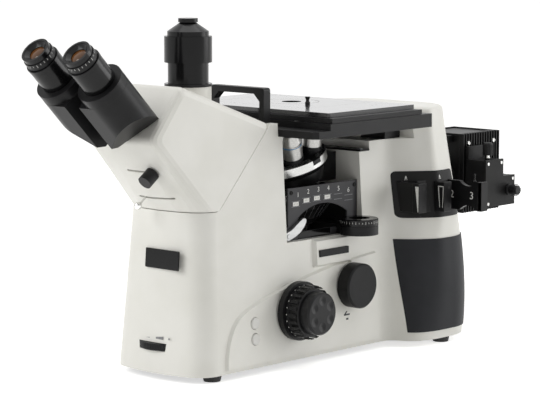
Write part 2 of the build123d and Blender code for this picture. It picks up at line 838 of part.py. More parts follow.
with BuildPart() as camera_port_cap:
    stem = adapter_mouth_radius - running_gap
    turn((0, port_y, adapter_neck_z), (0, 0, 1), (
        (0, -port_cap_stem), (stem, -port_cap_stem), (stem, slide_gap), (port_cap_radius, slide_gap),
        (port_cap_radius, port_cap_top - adapter_neck_z), (0, port_cap_top - adapter_neck_z)))
keep(camera_port_cap, "camera_port_cap")

# Carry handle: a square arch on the top of the front column
with BuildPart() as carry_handle:
    inner_x, inner_top, corner = handle_half_width - handle_bar, handle_top - handle_bar, handle_inner_corner
    arch = ((-handle_half_width, post_top), (-handle_half_width, handle_top), (handle_half_width, handle_top),
            (handle_half_width, post_top), (inner_x, post_top), (inner_x, inner_top - corner),
            (inner_x - corner, inner_top), (corner - inner_x, inner_top), (-inner_x, inner_top - corner),
            (-inner_x, post_top))
    extrude(outline(Plane.XZ.offset(-handle_front_y - handle_thickness), arch,
                    radius=(0, handle_bar / 2, handle_bar / 2, 0, 0, 0, 0, 0, 0, 0)), amount=handle_thickness)
keep(carry_handle, "carry_handle")


def housing_section(side, depth):
    """Section across a viewing tube's housing: round outside, flat towards the middle."""
    near = side * (housing_flat_x - eye_half_spacing)
    low = side * (housing_flat_low_x - eye_half_spacing)
    plane = Plane(origin=tube_point(side * eye_half_spacing, 0, depth), x_dir=(1, 0, 0), z_dir=tube_axis)
    with BuildSketch(plane) as drawn:
        with BuildLine():
            Polyline((0, housing_radius), (near, housing_radius), (near, pivot_rise / 2), (low, -housing_radius),
                     (0, -housing_radius))
            ThreePointArc((0, -housing_radius), (side * housing_radius, 0), (0, housing_radius))
        make_face()
    return drawn.sketch


def eyepiece_body(side):
    """A swivelling housing: round collar, flat-sided body, bevelled foot and the lug of the hinge."""
    tube_x = side * eye_half_spacing
    collar_low = housing_start + collar_length
    rod(tube_point(tube_x, 0, collar_low), tube_axis, housing_radius, collar_length)
    deepest = max(bottom_depth(-housing_radius), bottom_depth(housing_radius)) + overrun
    extrude(housing_section(side, collar_low), amount=collar_low - deepest)
    face = along((0, nose_y, nose_z), high_face_normal, housing_face_gap)
    face_plane = Plane(origin=face, x_dir=(1, 0, 0), z_dir=high_face_normal)
    big = housing_radius * 8
    extrude(outline(face_plane, ((-big, -big), (big, -big), (big, big), (-big, big))), amount=-big,
            mode=Mode.SUBTRACT)
    near = Vector(*tube_point(side * bevel_near_x, bevel_near_rise, bottom_depth(bevel_near_rise)))
    far = Vector(*tube_point(side * bevel_far_x, bevel_far_rise, bottom_depth(bevel_far_rise)))
    chord = (far - near).normalized()
    across = Vector(side, 0, 0) - chord * Vector(side, 0, 0).dot(chord)
    axis = Vector(*tube_axis)
    across = (across - axis * across.dot(axis)).normalized()
    slope = (across * bevel_run + axis * bevel_rise).normalized()
    below = chord.cross(slope).normalized()
    if below.dot(axis) > 0:
        below = below * -1
    bevel_plane = Plane(origin=near, x_dir=chord, z_dir=below)
    extrude(outline(bevel_plane, ((-big, -big), (big, -big), (big, big), (-big, big))), amount=big,
            mode=Mode.SUBTRACT)
    lug_start = lug_starts[0] if side > 0 else lug_starts[1]
    lug_plane = Plane(origin=tube_point(0, pivot_rise, lug_start), x_dir=(1, 0, 0), z_dir=tube_axis)
    reach = side * (housing_flat_x + housing_wall / 2)
    lug = ((0, -pivot_lug_radius), (reach, -pivot_lug_radius), (reach, pivot_lug_radius), (0, pivot_lug_radius))
    extrude(outline(lug_plane, lug), amount=-pivot_lug_length)
    rod(tube_point(0, pivot_rise, lug_start), tuple(-a for a in tube_axis), pivot_lug_radius, pivot_lug_length)
    rod(tube_point(0, pivot_rise, lug_start - overrun), tuple(-a for a in tube_axis),
        pivot_pin_radius + running_gap, pivot_lug_length + overrun * 2, mode=Mode.SUBTRACT)
    rod(tube_point(tube_x, 0, housing_start + eyepiece_plug + overrun), tube_axis, housing_bore,
        eyepiece_plug + overrun * 2, mode=Mode.SUBTRACT)


dioptre_low = housing_start - eye_ring_length - dioptre_length
ring_low = housing_start - eye_ring_length


def eyepiece(side):
    """An eyepiece: plug, barrel, the core that carries the dioptre ring, and the eye ring."""
    plug = housing_bore - running_gap
    seat_radius = eye_lens_radius + running_gap
    seat = ring_low + (eye_ring_length - eye_lens_thickness) / 2
    turn(tube_point(side * eye_half_spacing, 0, housing_start), tube_axis, (
        (eyepiece_clear_radius, -eyepiece_plug), (plug, -eyepiece_plug), (plug, slide_gap),
        (eyepiece_radius, slide_gap), (eyepiece_radius, dioptre_low - dioptre_turn_gap),
        (eyepiece_core_radius, dioptre_low - dioptre_turn_gap), (eyepiece_core_radius, ring_low),
        (eye_ring_radius, ring_low), (eye_ring_radius, housing_start), (seat_radius, housing_start),
        (seat_radius, seat), (eyepiece_clear_radius, seat)))


def dioptre_ring(side):
    """The ring that focuses an eyepiece."""
    turn(tube_point(side * eye_half_spacing, 0, housing_start), tube_axis, (
        (eyepiece_core_radius + running_gap, dioptre_low), (dioptre_radius, dioptre_low),
        (dioptre_radius, ring_low - dioptre_turn_gap),
        (eyepiece_core_radius + running_gap, ring_low - dioptre_turn_gap)))


def eye_lens(side):
    """The lens that the eye looks into, seated in the eye ring."""
    seat = ring_low + (eye_ring_length - eye_lens_thickness) / 2
    rod(along(tube_point(side * eye_half_spacing, 0, housing_start), tube_axis, seat), tube_axis,
        eye_lens_radius, eye_lens_thickness)


# Binocular viewing tubes: two housings on one hinge pin, each with an eyepiece and its dioptre ring
with BuildPart() as eyepiece_body_right:
    eyepiece_body(1)
keep(eyepiece_body_right, "eyepiece_body_right")

with BuildPart() as eyepiece_body_left:
    eyepiece_body(-1)
keep(eyepiece_body_left, "eyepiece_body_left")

with BuildPart() as eyepiece_right:
    eyepiece(1)
keep(eyepiece_right, "eyepiece_right")

with BuildPart() as eyepiece_left:
    eyepiece(-1)
keep(eyepiece_left, "eyepiece_left")

with BuildPart() as dioptre_ring_right:
    dioptre_ring(1)
keep(dioptre_ring_right, "dioptre_ring_right")

with BuildPart() as dioptre_ring_left:
    dioptre_ring(-1)
keep(dioptre_ring_left, "dioptre_ring_left")

with BuildPart() as eye_lens_right:
    eye_lens(1)
keep(eye_lens_right, "eye_lens_right")

with BuildPart() as eye_lens_left:
    eye_lens(-1)
keep(eye_lens_left, "eye_lens_left")

with BuildPart() as pivot_pin:
    pin_low = bottom_depth(pivot_rise) + housing_face_gap + head_wall * 2
    rod(tube_point(0, pivot_rise, pin_low), tube_axis, pivot_pin_radius, pin_low - pivot_pin_top)
keep(pivot_pin, "pivot_pin")

# Stage: the fixed base on its two pillars, two sliding plates and the drop-in insert
with BuildPart() as stage_base:
    half, cut = stage_half_width, stage_chamfer
    extrude(outline(Plane.XY.offset(stage_bottom), (
        (-half + cut, stage_front_y), (half - cut, stage_front_y), (half, stage_front_y + cut),
        (half, stage_rear_y), (-half, stage_rear_y), (-half, stage_front_y + cut))),
        amount=stage_step_z - stage_bottom)
    block((-half, stage_step_y, stage_step_z), (half, stage_rear_y, stage_base_top))
    block((-stage_window_half, stage_window_front_y, stage_bottom - overrun),
          (stage_window_half, stage_window_rear_y, stage_base_top + overrun), mode=Mode.SUBTRACT)
    for side in (-1, 1):
        block((min(side * pillar_inner_x, side * pillar_outer_x), pillar_front_y, rear_block_top),
              (max(side * pillar_inner_x, side * pillar_outer_x), pillar_rear_y, stage_bottom))
keep(stage_base, "stage_base")

y_plate_bottom = stage_base_top + slide_gap
with BuildPart() as stage_y_plate:
    block((-y_plate_half_width, y_plate_front_y, y_plate_bottom),
          (y_plate_half_width, y_plate_rear_y, y_plate_top))
    block((-y_window_half, y_window_front_y, y_plate_bottom - overrun),
          (y_window_half, y_window_rear_y, y_plate_top + overrun), mode=Mode.SUBTRACT)
    block((drive_x, drive_y - drive_boss_radius, y_plate_bottom),
          (-y_plate_half_width + overrun, drive_y + drive_boss_radius, y_plate_top))
    rod((drive_x, drive_y, y_plate_top), (0, 0, -1), drive_boss_radius, drive_boss_length)
    rod((drive_x, drive_y, y_plate_top + overrun), (0, 0, -1), drive_sleeve_radius + running_gap,
        drive_boss_length + overrun * 2, mode=Mode.SUBTRACT)
keep(stage_y_plate, "stage_y_plate")

x_plate_bottom = y_plate_top + slide_gap
ledge_top = x_plate_bottom + recess_ledge_thickness
with BuildPart() as stage_x_plate:
    extrude(outline(Plane.XY.offset(x_plate_bottom), (
        (x_plate_left_x, x_plate_front_y), (x_plate_right_x, x_plate_front_y),
        (x_plate_right_x, x_plate_rear_y), (x_plate_left_x, x_plate_rear_y)), radius=recess_corner),
        amount=x_plate_top - x_plate_bottom)
    extrude(outline(Plane.XY.offset(ledge_top), (
        (recess_left_x, recess_front_y), (recess_right_x, recess_front_y),
        (recess_right_x, recess_rear_y), (recess_left_x, recess_rear_y)), radius=recess_corner),
        amount=x_plate_top, mode=Mode.SUBTRACT)
    block((recess_left_x + recess_ledge, recess_front_y + recess_ledge, x_plate_bottom - overrun),
          (recess_right_x - recess_ledge, recess_rear_y - recess_ledge, x_plate_top), mode=Mode.SUBTRACT)
keep(stage_x_plate, "stage_x_plate")

insert_x = (recess_left_x + recess_right_x) / 2
insert_y = (recess_front_y + recess_rear_y) / 2
with BuildPart() as stage_insert:
    extrude(outline(Plane.XY.offset(ledge_top + slide_gap), (
        (recess_left_x + slide_gap, recess_front_y + slide_gap),
        (recess_right_x - slide_gap, recess_front_y + slide_gap),
        (recess_right_x - slide_gap, recess_rear_y - slide_gap),
        (recess_left_x + slide_gap, recess_rear_y - slide_gap)), radius=recess_corner - slide_gap),
        amount=x_plate_top - ledge_top - slide_gap)
    turn((insert_x, insert_y, x_plate_top), (0, 0, -1), (
        (insert_ring_radius - insert_ring_depth, 0), (insert_ring_radius, 0),
        (insert_ring_radius, insert_ring_depth), (insert_ring_radius - insert_ring_depth, insert_ring_depth)),
        mode=Mode.SUBTRACT)
    rod((insert_x, insert_y, x_plate_bottom), (0, 0, 1), insert_hole_radius, x_plate_top, mode=Mode.SUBTRACT)
keep(stage_insert, "stage_insert")

with BuildPart() as stage_clip_post:
    turn((clip_post_x, clip_post_y, x_plate_top), (0, 0, 1), (
        (0, 0), (clip_post_radius, 0), (clip_post_radius, clip_post_height * 0.3),
        (clip_post_radius * 0.7, clip_post_height * 0.4), (clip_post_radius * 0.7, clip_post_height * 0.7),
        (clip_post_radius, clip_post_height * 0.8), (clip_post_radius, clip_post_height), (0, clip_post_height)))
keep(stage_clip_post, "stage_clip_post")

# Coaxial stage drive, hanging from the bracket of the lower plate
y_knob_top = y_plate_top - drive_boss_length - air_gap
with BuildPart() as stage_y_knob:
    turn((drive_x, drive_y, y_knob_top), (0, 0, -1), (
        (drive_shaft_radius + running_gap, -drive_boss_length), (drive_sleeve_radius, -drive_boss_length),
        (drive_sleeve_radius, 0), (y_knob_radius, 0), (y_knob_radius, y_knob_length),
        (drive_shaft_radius + running_gap, y_knob_length)))
keep(stage_y_knob, "stage_y_knob")

with BuildPart() as stage_x_knob:
    x_knob_top = y_knob_top - y_knob_length - air_gap
    shaft_rise = y_knob_length + drive_boss_length
    turn((drive_x, drive_y, x_knob_top), (0, 0, -1), (
        (0, -shaft_rise), (drive_shaft_radius, -shaft_rise), (drive_shaft_radius, 0), (x_knob_radius, 0),
        (x_knob_radius, x_knob_length), (0, x_knob_length)))
keep(stage_x_knob, "stage_x_knob")

# Nosepiece: a tilted turret whose seats splay so that the working one points straight up
tilt = radians(turret_tilt)
turret_normal = (0, -sin(tilt), cos(tilt))
turret_rear = (0, cos(tilt), sin(tilt))
turret_middle = along((0, optic_y, shoulder_height), turret_rear, -hole_circle_radius)
bracket_top = -turret_depth - air_gap


def seat(place):
    """The middle of a seat of the turret and the direction in which its objective points."""
    angle = radians(place * 360 / wheel_holes)
    outward = tuple(a * cos(angle) + b * sin(angle) for a, b in zip(turret_rear, (1, 0, 0)))
    middle = along(turret_middle, outward, hole_circle_radius)
    points = tuple(a * cos(tilt) + b * sin(tilt) for a, b in zip(turret_normal, outward))
    return middle, points


def cone_height(radius):
    """Height of the turret's coned top, whose seats stand a little proud of it."""
    return (hole_circle_radius - radius) * tan(tilt) - seat_lift


with BuildPart() as objective_turret:
    rim_top = cone_height(turret_radius)
    turn(turret_middle, turret_normal, (
        (0, -turret_depth - turret_hub_length), (turret_hub_radius, -turret_depth - turret_hub_length),
        (turret_hub_radius, -turret_depth), (turret_foot_radius, -turret_depth),
        (turret_radius, rim_top - turret_rim), (turret_radius, rim_top),
        (turret_top_radius, cone_height(turret_top_radius)), (0, cone_height(turret_top_radius))))
    for place in range(wheel_holes):
        spot, points = seat(place)
        rod(spot, tuple(-a for a in points), thread_radius + seat_rim, thread_length + seat_rim)
    for place in range(wheel_holes):
        spot, points = seat(place)
        rod(along(spot, points, overrun), tuple(-a for a in points), thread_radius, thread_length + overrun,
            mode=Mode.SUBTRACT)
        rod(spot, tuple(-a for a in points), turret_bore, turret_depth * 2, mode=Mode.SUBTRACT)
keep(objective_turret, "objective_turret")

for number, (place, length, tip) in enumerate(zip(objective_places, objective_lengths, objective_tip_radii)):
    with BuildPart() as objective:
        spot, points = seat(place)
        stub = thread_radius - running_gap
        turn(spot, points, (
            (0, -thread_length), (stub, -thread_length), (stub, 0), (objective_body_radius, 0),
            (objective_body_radius, length * 0.6), (objective_body_radius * 0.9, length * 0.66),
            ((objective_body_radius + tip) / 2, length * 0.84), (tip, length), (0, length)))
    keep(objective, f"objective_{number + 1}")

with BuildPart() as nosepiece_bracket:
    turn(turret_middle, turret_normal, (
        (0, bracket_top), (bracket_radius, bracket_top), (bracket_low_radius, bracket_top - bracket_depth),
        (0, bracket_top - bracket_depth)))
    block((-slide_block_half, slide_block_front_y, slide_block_low),
          (slide_block_half, bay_rear_y - slide_gap, slide_block_high))
    turn(turret_middle, turret_normal, (
        (0, bracket_top), (turret_radius + air_gap * 2, bracket_top), (turret_radius + air_gap * 2, turret_depth),
        (0, turret_depth)), mode=Mode.SUBTRACT)
    rod(along(turret_middle, turret_normal, bracket_top + overrun), tuple(-a for a in turret_normal),
        turret_hub_radius + running_gap, bracket_depth + overrun * 2, mode=Mode.SUBTRACT)
    rod((0, optic_y, bay_floor), (0, 0, 1), turret_bore, stage_bottom - bay_floor, mode=Mode.SUBTRACT)
keep(nosepiece_bracket, "nosepiece_bracket")

# Number panel on the right of the bay, with the arched window of the contrast turret
with BuildPart() as number_panel:
    panel_plane = Plane.YZ.offset(panel_x - panel_thickness)
    tab_rear = panel_front_y + lever_hub_radius
    tab_front = lever_y - lever_hub_radius
    extrude(outline(panel_plane, (
        (tab_front, bay_floor), (panel_rear_y, bay_floor), (panel_rear_y, panel_top), (panel_front_y, panel_top),
        (panel_front_y, lever_z + lever_hub_radius * 2), (tab_front, lever_z + lever_hub_radius))),
        amount=panel_thickness)
    with BuildSketch(panel_plane) as arch_face:
        with BuildLine():
            Polyline((arch_front_y, arch_side_z), (arch_front_y, arch_low_z), (arch_rear_y, arch_low_z),
                     (arch_rear_y, arch_side_z))
            ThreePointArc((arch_rear_y, arch_side_z), ((arch_front_y + arch_rear_y) / 2, arch_top_z),
                          (arch_front_y, arch_side_z))
        make_face()
    extrude(arch_face.sketch, amount=panel_thickness, mode=Mode.SUBTRACT)
    block((0, polariser_y - tray_half_depth - air_gap, bay_floor),
          (panel_x + overrun, polariser_y + tray_half_depth + air_gap, bay_floor + tray_rise + tray_thickness + air_gap),
          mode=Mode.SUBTRACT)
    rod((0, lever_y, lever_z), (1, 0, 0), lever_pin_radius + running_gap, panel_x + overrun, mode=Mode.SUBTRACT)
keep(number_panel, "number_panel")

# Contrast turret: a many-sided wheel under the nosepiece that carries the contrast modules
with BuildPart() as contrast_turret:
    with BuildSketch(Plane.XY.offset(wheel_low_z)) as wheel_rim:
        with Locations((0, wheel_y)):
            RegularPolygon(wheel_low_radius, wheel_sides)
    extrude(amount=wheel_rim_height)
    with BuildSketch(Plane.XY.offset(wheel_low_z + wheel_rim_height)) as wheel_lower:
        with Locations((0, wheel_y)):
            RegularPolygon(wheel_low_radius, wheel_sides)
    with BuildSketch(Plane.XY.offset(wheel_high_z)) as wheel_upper:
        with Locations((0, wheel_y)):
            RegularPolygon(wheel_high_radius, wheel_sides)
    loft([wheel_lower.sketch, wheel_upper.sketch], ruled=True)
    for place in range(wheel_holes):
        angle = radians(place * 360 / wheel_holes)
        reach = optic_y - wheel_y
        rod((reach * sin(angle), wheel_y + reach * cos(angle), wheel_low_z - overrun), (0, 0, 1),
            wheel_hole_radius, wheel_high_z - wheel_low_z + overrun * 2, mode=Mode.SUBTRACT)
    rod((0, wheel_y, wheel_low_z - overrun), (0, 0, 1), wheel_pin_radius + running_gap,
        wheel_high_z - wheel_low_z + overrun * 2, mode=Mode.SUBTRACT)
keep(contrast_turret, "contrast_turret")

# Polariser: a tray that slides into the bay and the ring that turns on it
tray_low = bay_floor + tray_rise
with BuildPart() as polariser_tray:
    block((tray_inner_x, polariser_y - tray_half_depth, tray_low),
          (polariser_x, polariser_y + tray_half_depth, tray_low + tray_thickness))
    rod((polariser_x, polariser_y, tray_low), (0, 0, 1), polariser_radius, tray_thickness)
    rod((polariser_x, polariser_y, tray_low), (0, 0, 1), polariser_hole_radius + wall,
        polariser_ring_top - wall - tray_low)
    rod((polariser_x, polariser_y, tray_low - overrun), (0, 0, 1), polariser_hole_radius,
        polariser_ring_top, mode=Mode.SUBTRACT)
keep(polariser_tray, "polariser_tray")

with BuildPart() as polariser_ring:
    turn((polariser_x, polariser_y, 0), (0, 0, 1), (
        (polariser_hole_radius + wall + running_gap, polariser_ring_low + slide_gap),
        (polariser_radius, polariser_ring_low + slide_gap), (polariser_radius, polariser_ring_top - wall / 4),
        (polariser_radius - wall / 4, polariser_ring_top), (polariser_hole_radius, polariser_ring_top),
        (polariser_hole_radius, polariser_ring_top - wall + slide_gap),
        (polariser_hole_radius + wall + running_gap, polariser_ring_top - wall + slide_gap)))
keep(polariser_ring, "polariser_ring")

# Analyser slider in the boss below the bay
with BuildPart() as analyser_slider:
    block((analyser_inner_x, analyser_y - analyser_half_depth, analyser_low),
          (half_width(analyser_low) + boss_proud + analyser_proud, analyser_y + analyser_half_depth,
           analyser_high))
    rod((0, optic_y, analyser_low - overrun), (0, 0, 1), analyser_hole_radius, analyser_high, mode=Mode.SUBTRACT)
keep(analyser_slider, "analyser_slider")

# Light path lever, pivoted on the number panel
with BuildPart() as light_path_lever:
    lever_x = panel_x + slide_gap
    rod((lever_x, lever_y, lever_z), (1, 0, 0), lever_hub_radius, lever_hub_length)
    rod((lever_x, lever_y, lever_z), (-1, 0, 0), lever_pin_radius, panel_thickness + wall)
    reach_y, reach_z = lever_tip_y - lever_y, lever_tip_z - lever_z
    span = sqrt(reach_y ** 2 + reach_z ** 2)
    off_y, off_z = -reach_z / span * lever_width / 2, reach_y / span * lever_width / 2
    extrude(outline(Plane.YZ.offset(lever_x + lever_hub_length / 3), (
        (lever_y - off_y, lever_z - off_z), (lever_tip_y - off_y, lever_tip_z - off_z),
        (lever_tip_y + off_y, lever_tip_z + off_z), (lever_y + off_y, lever_z + off_z)),
        radius=(0, lever_width * 0.4, lever_width * 0.4, 0)), amount=lever_hub_length * 2 / 3)
keep(light_path_lever, "light_path_lever")

# Focus drive: coarse knobs on a sleeve, fine knobs on the shaft inside it, and the tension ring
stack_x = half_width(focus_z - tension_radius) + cover_proud + air_gap
coarse_x = stack_x + tension_length + air_gap
fine_x = coarse_x + coarse_length + air_gap
left_fine_x = stack_x + coarse_length + air_gap
with BuildPart() as coarse_knobs:
    for side, start in ((1, coarse_x), (-1, stack_x)):
        turn((side * start, focus_y, focus_z), (side, 0, 0), (
            (0, 0), (coarse_radius - wall / 4, 0), (coarse_radius, wall / 4),
            (coarse_radius, coarse_length - wall / 4), (coarse_radius - wall / 4, coarse_length),
            (0, coarse_length)))
    rod((-stack_x, focus_y, focus_z), (1, 0, 0), sleeve_radius, stack_x + coarse_x)
    rod((-pinion_length / 2, focus_y, focus_z), (1, 0, 0), pinion_radius, pinion_length)
    rod((-left_fine_x - overrun, focus_y, focus_z), (1, 0, 0), fine_shaft_radius + running_gap,
        left_fine_x + fine_x + overrun * 2, mode=Mode.SUBTRACT)
keep(coarse_knobs, "coarse_knobs")

with BuildPart() as fine_knobs:
    for side, start in ((1, fine_x), (-1, left_fine_x)):
        turn((side * start, focus_y, focus_z), (side, 0, 0), (
            (0, 0), (fine_radius, 0), (fine_radius, fine_length - wall / 2),
            (fine_radius - wall / 2, fine_length), (0, fine_length)))
    for place in range(fine_dimples):
        angle = radians(place * 360 / fine_dimples)
        reach = fine_radius * 0.62
        turn((fine_x + fine_length, focus_y + reach * sin(angle), focus_z + reach * cos(angle)), (1, 0, 0), (
            (0, -fine_dimple_depth), (fine_dimple_radius, 0), (fine_dimple_radius, overrun), (0, overrun)),
            mode=Mode.SUBTRACT)
    rod((-left_fine_x, focus_y, focus_z), (1, 0, 0), fine_shaft_radius, left_fine_x + fine_x)
keep(fine_knobs, "fine_knobs")

with BuildPart() as tension_ring:
    turn((stack_x, focus_y, focus_z), (1, 0, 0), (
        (sleeve_radius + running_gap, 0), (tension_radius, 0), (tension_radius, tension_length),
        (sleeve_radius + running_gap, tension_length)))
keep(tension_ring, "tension_ring")

# Side port cap and the two push buttons
with BuildPart() as side_port_cap:
    cap_x = half_width(side_port_z - side_port_radius) + cover_proud + slide_gap
    stem = side_port_bore - running_gap
    turn((cap_x, side_port_y, side_port_z), (1, 0, 0), (
        (stem - side_port_wall, -side_port_stem), (stem, -side_port_stem), (stem, 0), (side_port_radius, 0),
        (side_port_radius, side_port_length - wall / 2), (side_port_radius - wall / 2, side_port_length),
        (0, side_port_length), (0, side_port_length - side_port_wall),
        (stem - side_port_wall, side_port_length - side_port_wall)))
keep(side_port_cap, "side_port_cap")

for z, label in ((button_upper_z, "upper_button"), (button_lower_z, "lower_button")):
    with BuildPart() as button:
        face_x = half_width(z) + cover_proud + button_proud
        turn((face_x, button_y, z), (-1, 0, 0), (
            (0, 0), (button_radius - button_proud / 2, 0), (button_radius, button_proud / 2),
            (button_radius, button_length), (0, button_length)))
    keep(button, label)

# Intensity dial behind the front, and the controls on the head's lower front face
with BuildPart() as intensity_dial:
    rod((0, dial_y, dial_z - dial_height / 2), (0, 0, 1), dial_radius, dial_height)
    rod((0, dial_y, foot_height), (0, 0, 1), dial_hub_radius + running_gap, dial_z, mode=Mode.SUBTRACT)
keep(intensity_dial, "intensity_dial")

with BuildPart() as beam_knob:
    turn(low_face_point(beam_knob_x, beam_slot_share), low_face_normal, (
        (0, -head_wall * 3), (stem_flange_radius, -head_wall * 3),
        (stem_flange_radius, stem_flange_thickness - head_wall * 3),
        (beam_stem_radius, stem_flange_thickness - head_wall * 3), (beam_stem_radius, air_gap),
        (beam_knob_radius, air_gap), (beam_knob_radius, beam_knob_length), (0, beam_knob_length)))
keep(beam_knob, "beam_knob")

with BuildPart() as ball_lever:
    turn(low_face_point(ball_x, ball_slot_share), low_face_normal, (
        (0, -head_wall * 4), (stem_flange_radius, -head_wall * 4),
        (stem_flange_radius, stem_flange_thickness - head_wall * 4),
        (ball_rod_radius, stem_flange_thickness - head_wall * 4), (ball_rod_radius, ball_reach),
        (0, ball_reach)))
    with Locations(along(low_face_point(ball_x, ball_slot_share), low_face_normal, ball_reach)):
        Sphere(ball_radius)
keep(ball_lever, "ball_lever")

# Illuminator: the tube through the column, its three sliders and the mount of the lamp house
with BuildPart() as illuminator_tube:
    bore = illuminator_radius - illuminator_wall
    turn((0, 0, illuminator_z), (0, 1, 0), (
        (bore, illuminator_front_y), (illuminator_radius, illuminator_front_y),
        (illuminator_radius, column_rear_top - column_corner), (mount_flange_radius, column_rear_top - column_corner),
        (mount_flange_radius, column_rear_knee + mount_flange_thickness),
        (mount_tube_radius, column_rear_knee + mount_flange_thickness), (mount_tube_radius, lamp_front_y),
        (bore, lamp_front_y)))
    column_plug = column_form(0)
    core = Solid.make_cylinder(illuminator_radius, column_rear_knee,
                               Plane(origin=(0, 0, illuminator_z), z_dir=(0, 1, 0)))
    add(column_plug - core, mode=Mode.SUBTRACT)
    for y in (field_y, aperture_y, filter_y):
        block((slider_inner_x - slider_push - slide_gap, y - slider_plate_half - slide_gap, slider_low - slide_gap),
              (illuminator_radius + overrun, y + slider_plate_half + slide_gap, slider_high + slide_gap),
              mode=Mode.SUBTRACT)
keep(illuminator_tube, "illuminator_tube")

for label, y, half, outer_x in (("field_stop_slider", field_y, field_half_depth, field_outer_x),
                                ("aperture_slider", aperture_y, aperture_half_depth, aperture_outer_x)):
    with BuildPart() as slider:
        block((slider_inner_x, y - slider_plate_half, slider_low), (outer_x, y + slider_plate_half, slider_high))
        block((outer_x - slider_block_width, y - half, slider_low), (outer_x, y + half, slider_high))
        rod((0, y - half, slider_z), (0, 1, 0), slider_hole_radius, half * 2, mode=Mode.SUBTRACT)
    keep(slider, label)

with BuildPart() as filter_slider:
    for cell in range(filter_cells):
        rod((filter_cell_x - filter_pitch * cell, filter_y - slider_plate_half, slider_z), (0, 1, 0),
            filter_cell_radius, slider_plate_half * 2)
    block((filter_outer_x - filter_block_width, filter_y - slider_plate_half, slider_low),
          (filter_outer_x, filter_y - slider_plate_half + filter_block_depth, slider_high))
    for cell in range(1, filter_cells):
        rod((filter_cell_x - filter_pitch * cell, filter_y - slider_plate_half - overrun, slider_z), (0, 1, 0),
            filter_glass_radius, slider_plate_half * 2 + overrun * 2, mode=Mode.SUBTRACT)
keep(filter_slider, "filter_slider")

# Lamp house with its cooling fins, lamp holder and adjusting screws
with BuildPart() as lamp_house:
    block((-lamp_half_width, lamp_front_y, lamp_low), (lamp_half_width, lamp_rear_y, lamp_high))
    block((-lamp_half_width - lamp_lid_overhang, lamp_front_y - lamp_lid_overhang, lamp_high),
          (lamp_half_width + lamp_lid_overhang, lamp_rear_y + lamp_lid_overhang, lamp_lid_top))
    block((lamp_wall - lamp_half_width, lamp_front_y + lamp_wall, lamp_low + lamp_wall),
          (lamp_half_width - lamp_wall - fin_depth, lamp_rear_y - lamp_wall, lamp_high - lamp_wall),
          mode=Mode.SUBTRACT)
    rod((0, lamp_front_y - overrun, illuminator_z), (0, 1, 0), illuminator_radius - illuminator_wall,
        lamp_wall + overrun * 2, mode=Mode.SUBTRACT)
    fin_pitch = (lamp_high - lamp_low) / fin_count
    for groove in range(fin_count):
        groove_low = lamp_low + fin_pitch * (groove + fin_share / 2)
        block((lamp_half_width - fin_depth, lamp_front_y - overrun, groove_low),
              (lamp_half_width + overrun, lamp_rear_y + overrun, groove_low + fin_pitch * (1 - fin_share)),
              mode=Mode.SUBTRACT)
keep(lamp_house, "lamp_house")

lamp_knobs = (
    ("lamp_knob_vertical", (holder_outer_x - holder_lip * 4, (holder_front_y + holder_step_y) / 2, holder_high),
     (0, 0, 1)),
    ("lamp_knob_side", (holder_outer_x, (holder_step_y + holder_rear_y) / 2, (holder_low + holder_step_z) / 2),
     (1, 0, 0)))
with BuildPart() as lamp_holder:
    block((lamp_half_width, holder_front_y, holder_low), (holder_outer_x, holder_rear_y, holder_high))
    block((lamp_half_width, holder_step_y, holder_step_z), (holder_outer_x + overrun, holder_rear_y + overrun,
                                                          holder_high + overrun), mode=Mode.SUBTRACT)
    block((holder_outer_x, holder_front_y, holder_low),
          (holder_outer_x + holder_lip, holder_step_y, holder_high))
    block((lamp_half_width, holder_front_y + holder_plate, holder_low + holder_plate),
          (holder_outer_x - holder_plate, holder_step_y - holder_plate, holder_high - holder_plate),
          mode=Mode.SUBTRACT)
    for label, spot, way in lamp_knobs:
        rod(along(spot, way, overrun), tuple(-a for a in way), lamp_screw_radius + running_gap,
            holder_plate + slide_gap + overrun, mode=Mode.SUBTRACT)
keep(lamp_holder, "lamp_holder")

for label, spot, way in lamp_knobs:
    with BuildPart() as lamp_knob:
        turn(spot, way, (
            (0, -holder_plate), (lamp_screw_radius, -holder_plate), (lamp_screw_radius, air_gap),
            (lamp_knob_radius, air_gap), (lamp_knob_radius, lamp_knob_length), (0, lamp_knob_length)))
    keep(lamp_knob, label)

with BuildPart() as lamp_bulb:
    lamp_y = (lamp_front_y + lamp_rear_y) / 2
    socket_low = lamp_low + lamp_wall
    turn((0, lamp_y, socket_low), (0, 0, 1), (
        (0, 0), (bulb_radius * 1.5, 0), (bulb_radius * 1.5, bulb_socket_height), (bulb_radius, bulb_socket_height),
        (bulb_radius, bulb_socket_height + bulb_height * 0.8),
        (bulb_radius / 2, bulb_socket_height + bulb_height), (0, bulb_socket_height + bulb_height)))
keep(lamp_bulb, "lamp_bulb")

# Power inlet low in the column's back
with BuildPart() as power_inlet:
    face_y = column_rear_low + inlet_lip
    block((inlet_x - inlet_half_width, face_y - inlet_depth, inlet_z - inlet_half_height),
          (inlet_x + inlet_half_width, face_y, inlet_z + inlet_half_height))
    block((inlet_x - inlet_half_width + inlet_lip, face_y - inlet_depth + inlet_lip,
           inlet_z - inlet_half_height + inlet_lip),
          (inlet_x + inlet_half_width - inlet_lip, face_y + overrun, inlet_z + inlet_half_height - inlet_lip),
          mode=Mode.SUBTRACT)
    for step in (-1, 0, 1):
        pin_x = inlet_x + step * inlet_half_width / 2
        block((pin_x - pin_half_width, face_y - inlet_depth + inlet_lip, inlet_z - pin_half_width * 2),
              (pin_x + pin_half_width, face_y - inlet_lip, inlet_z + pin_half_width * 2))
keep(power_inlet, "power_inlet")
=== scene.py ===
from math import cos, pi, radians, sin, sqrt

import bmesh
import bpy
from mathutils import Matrix, Vector


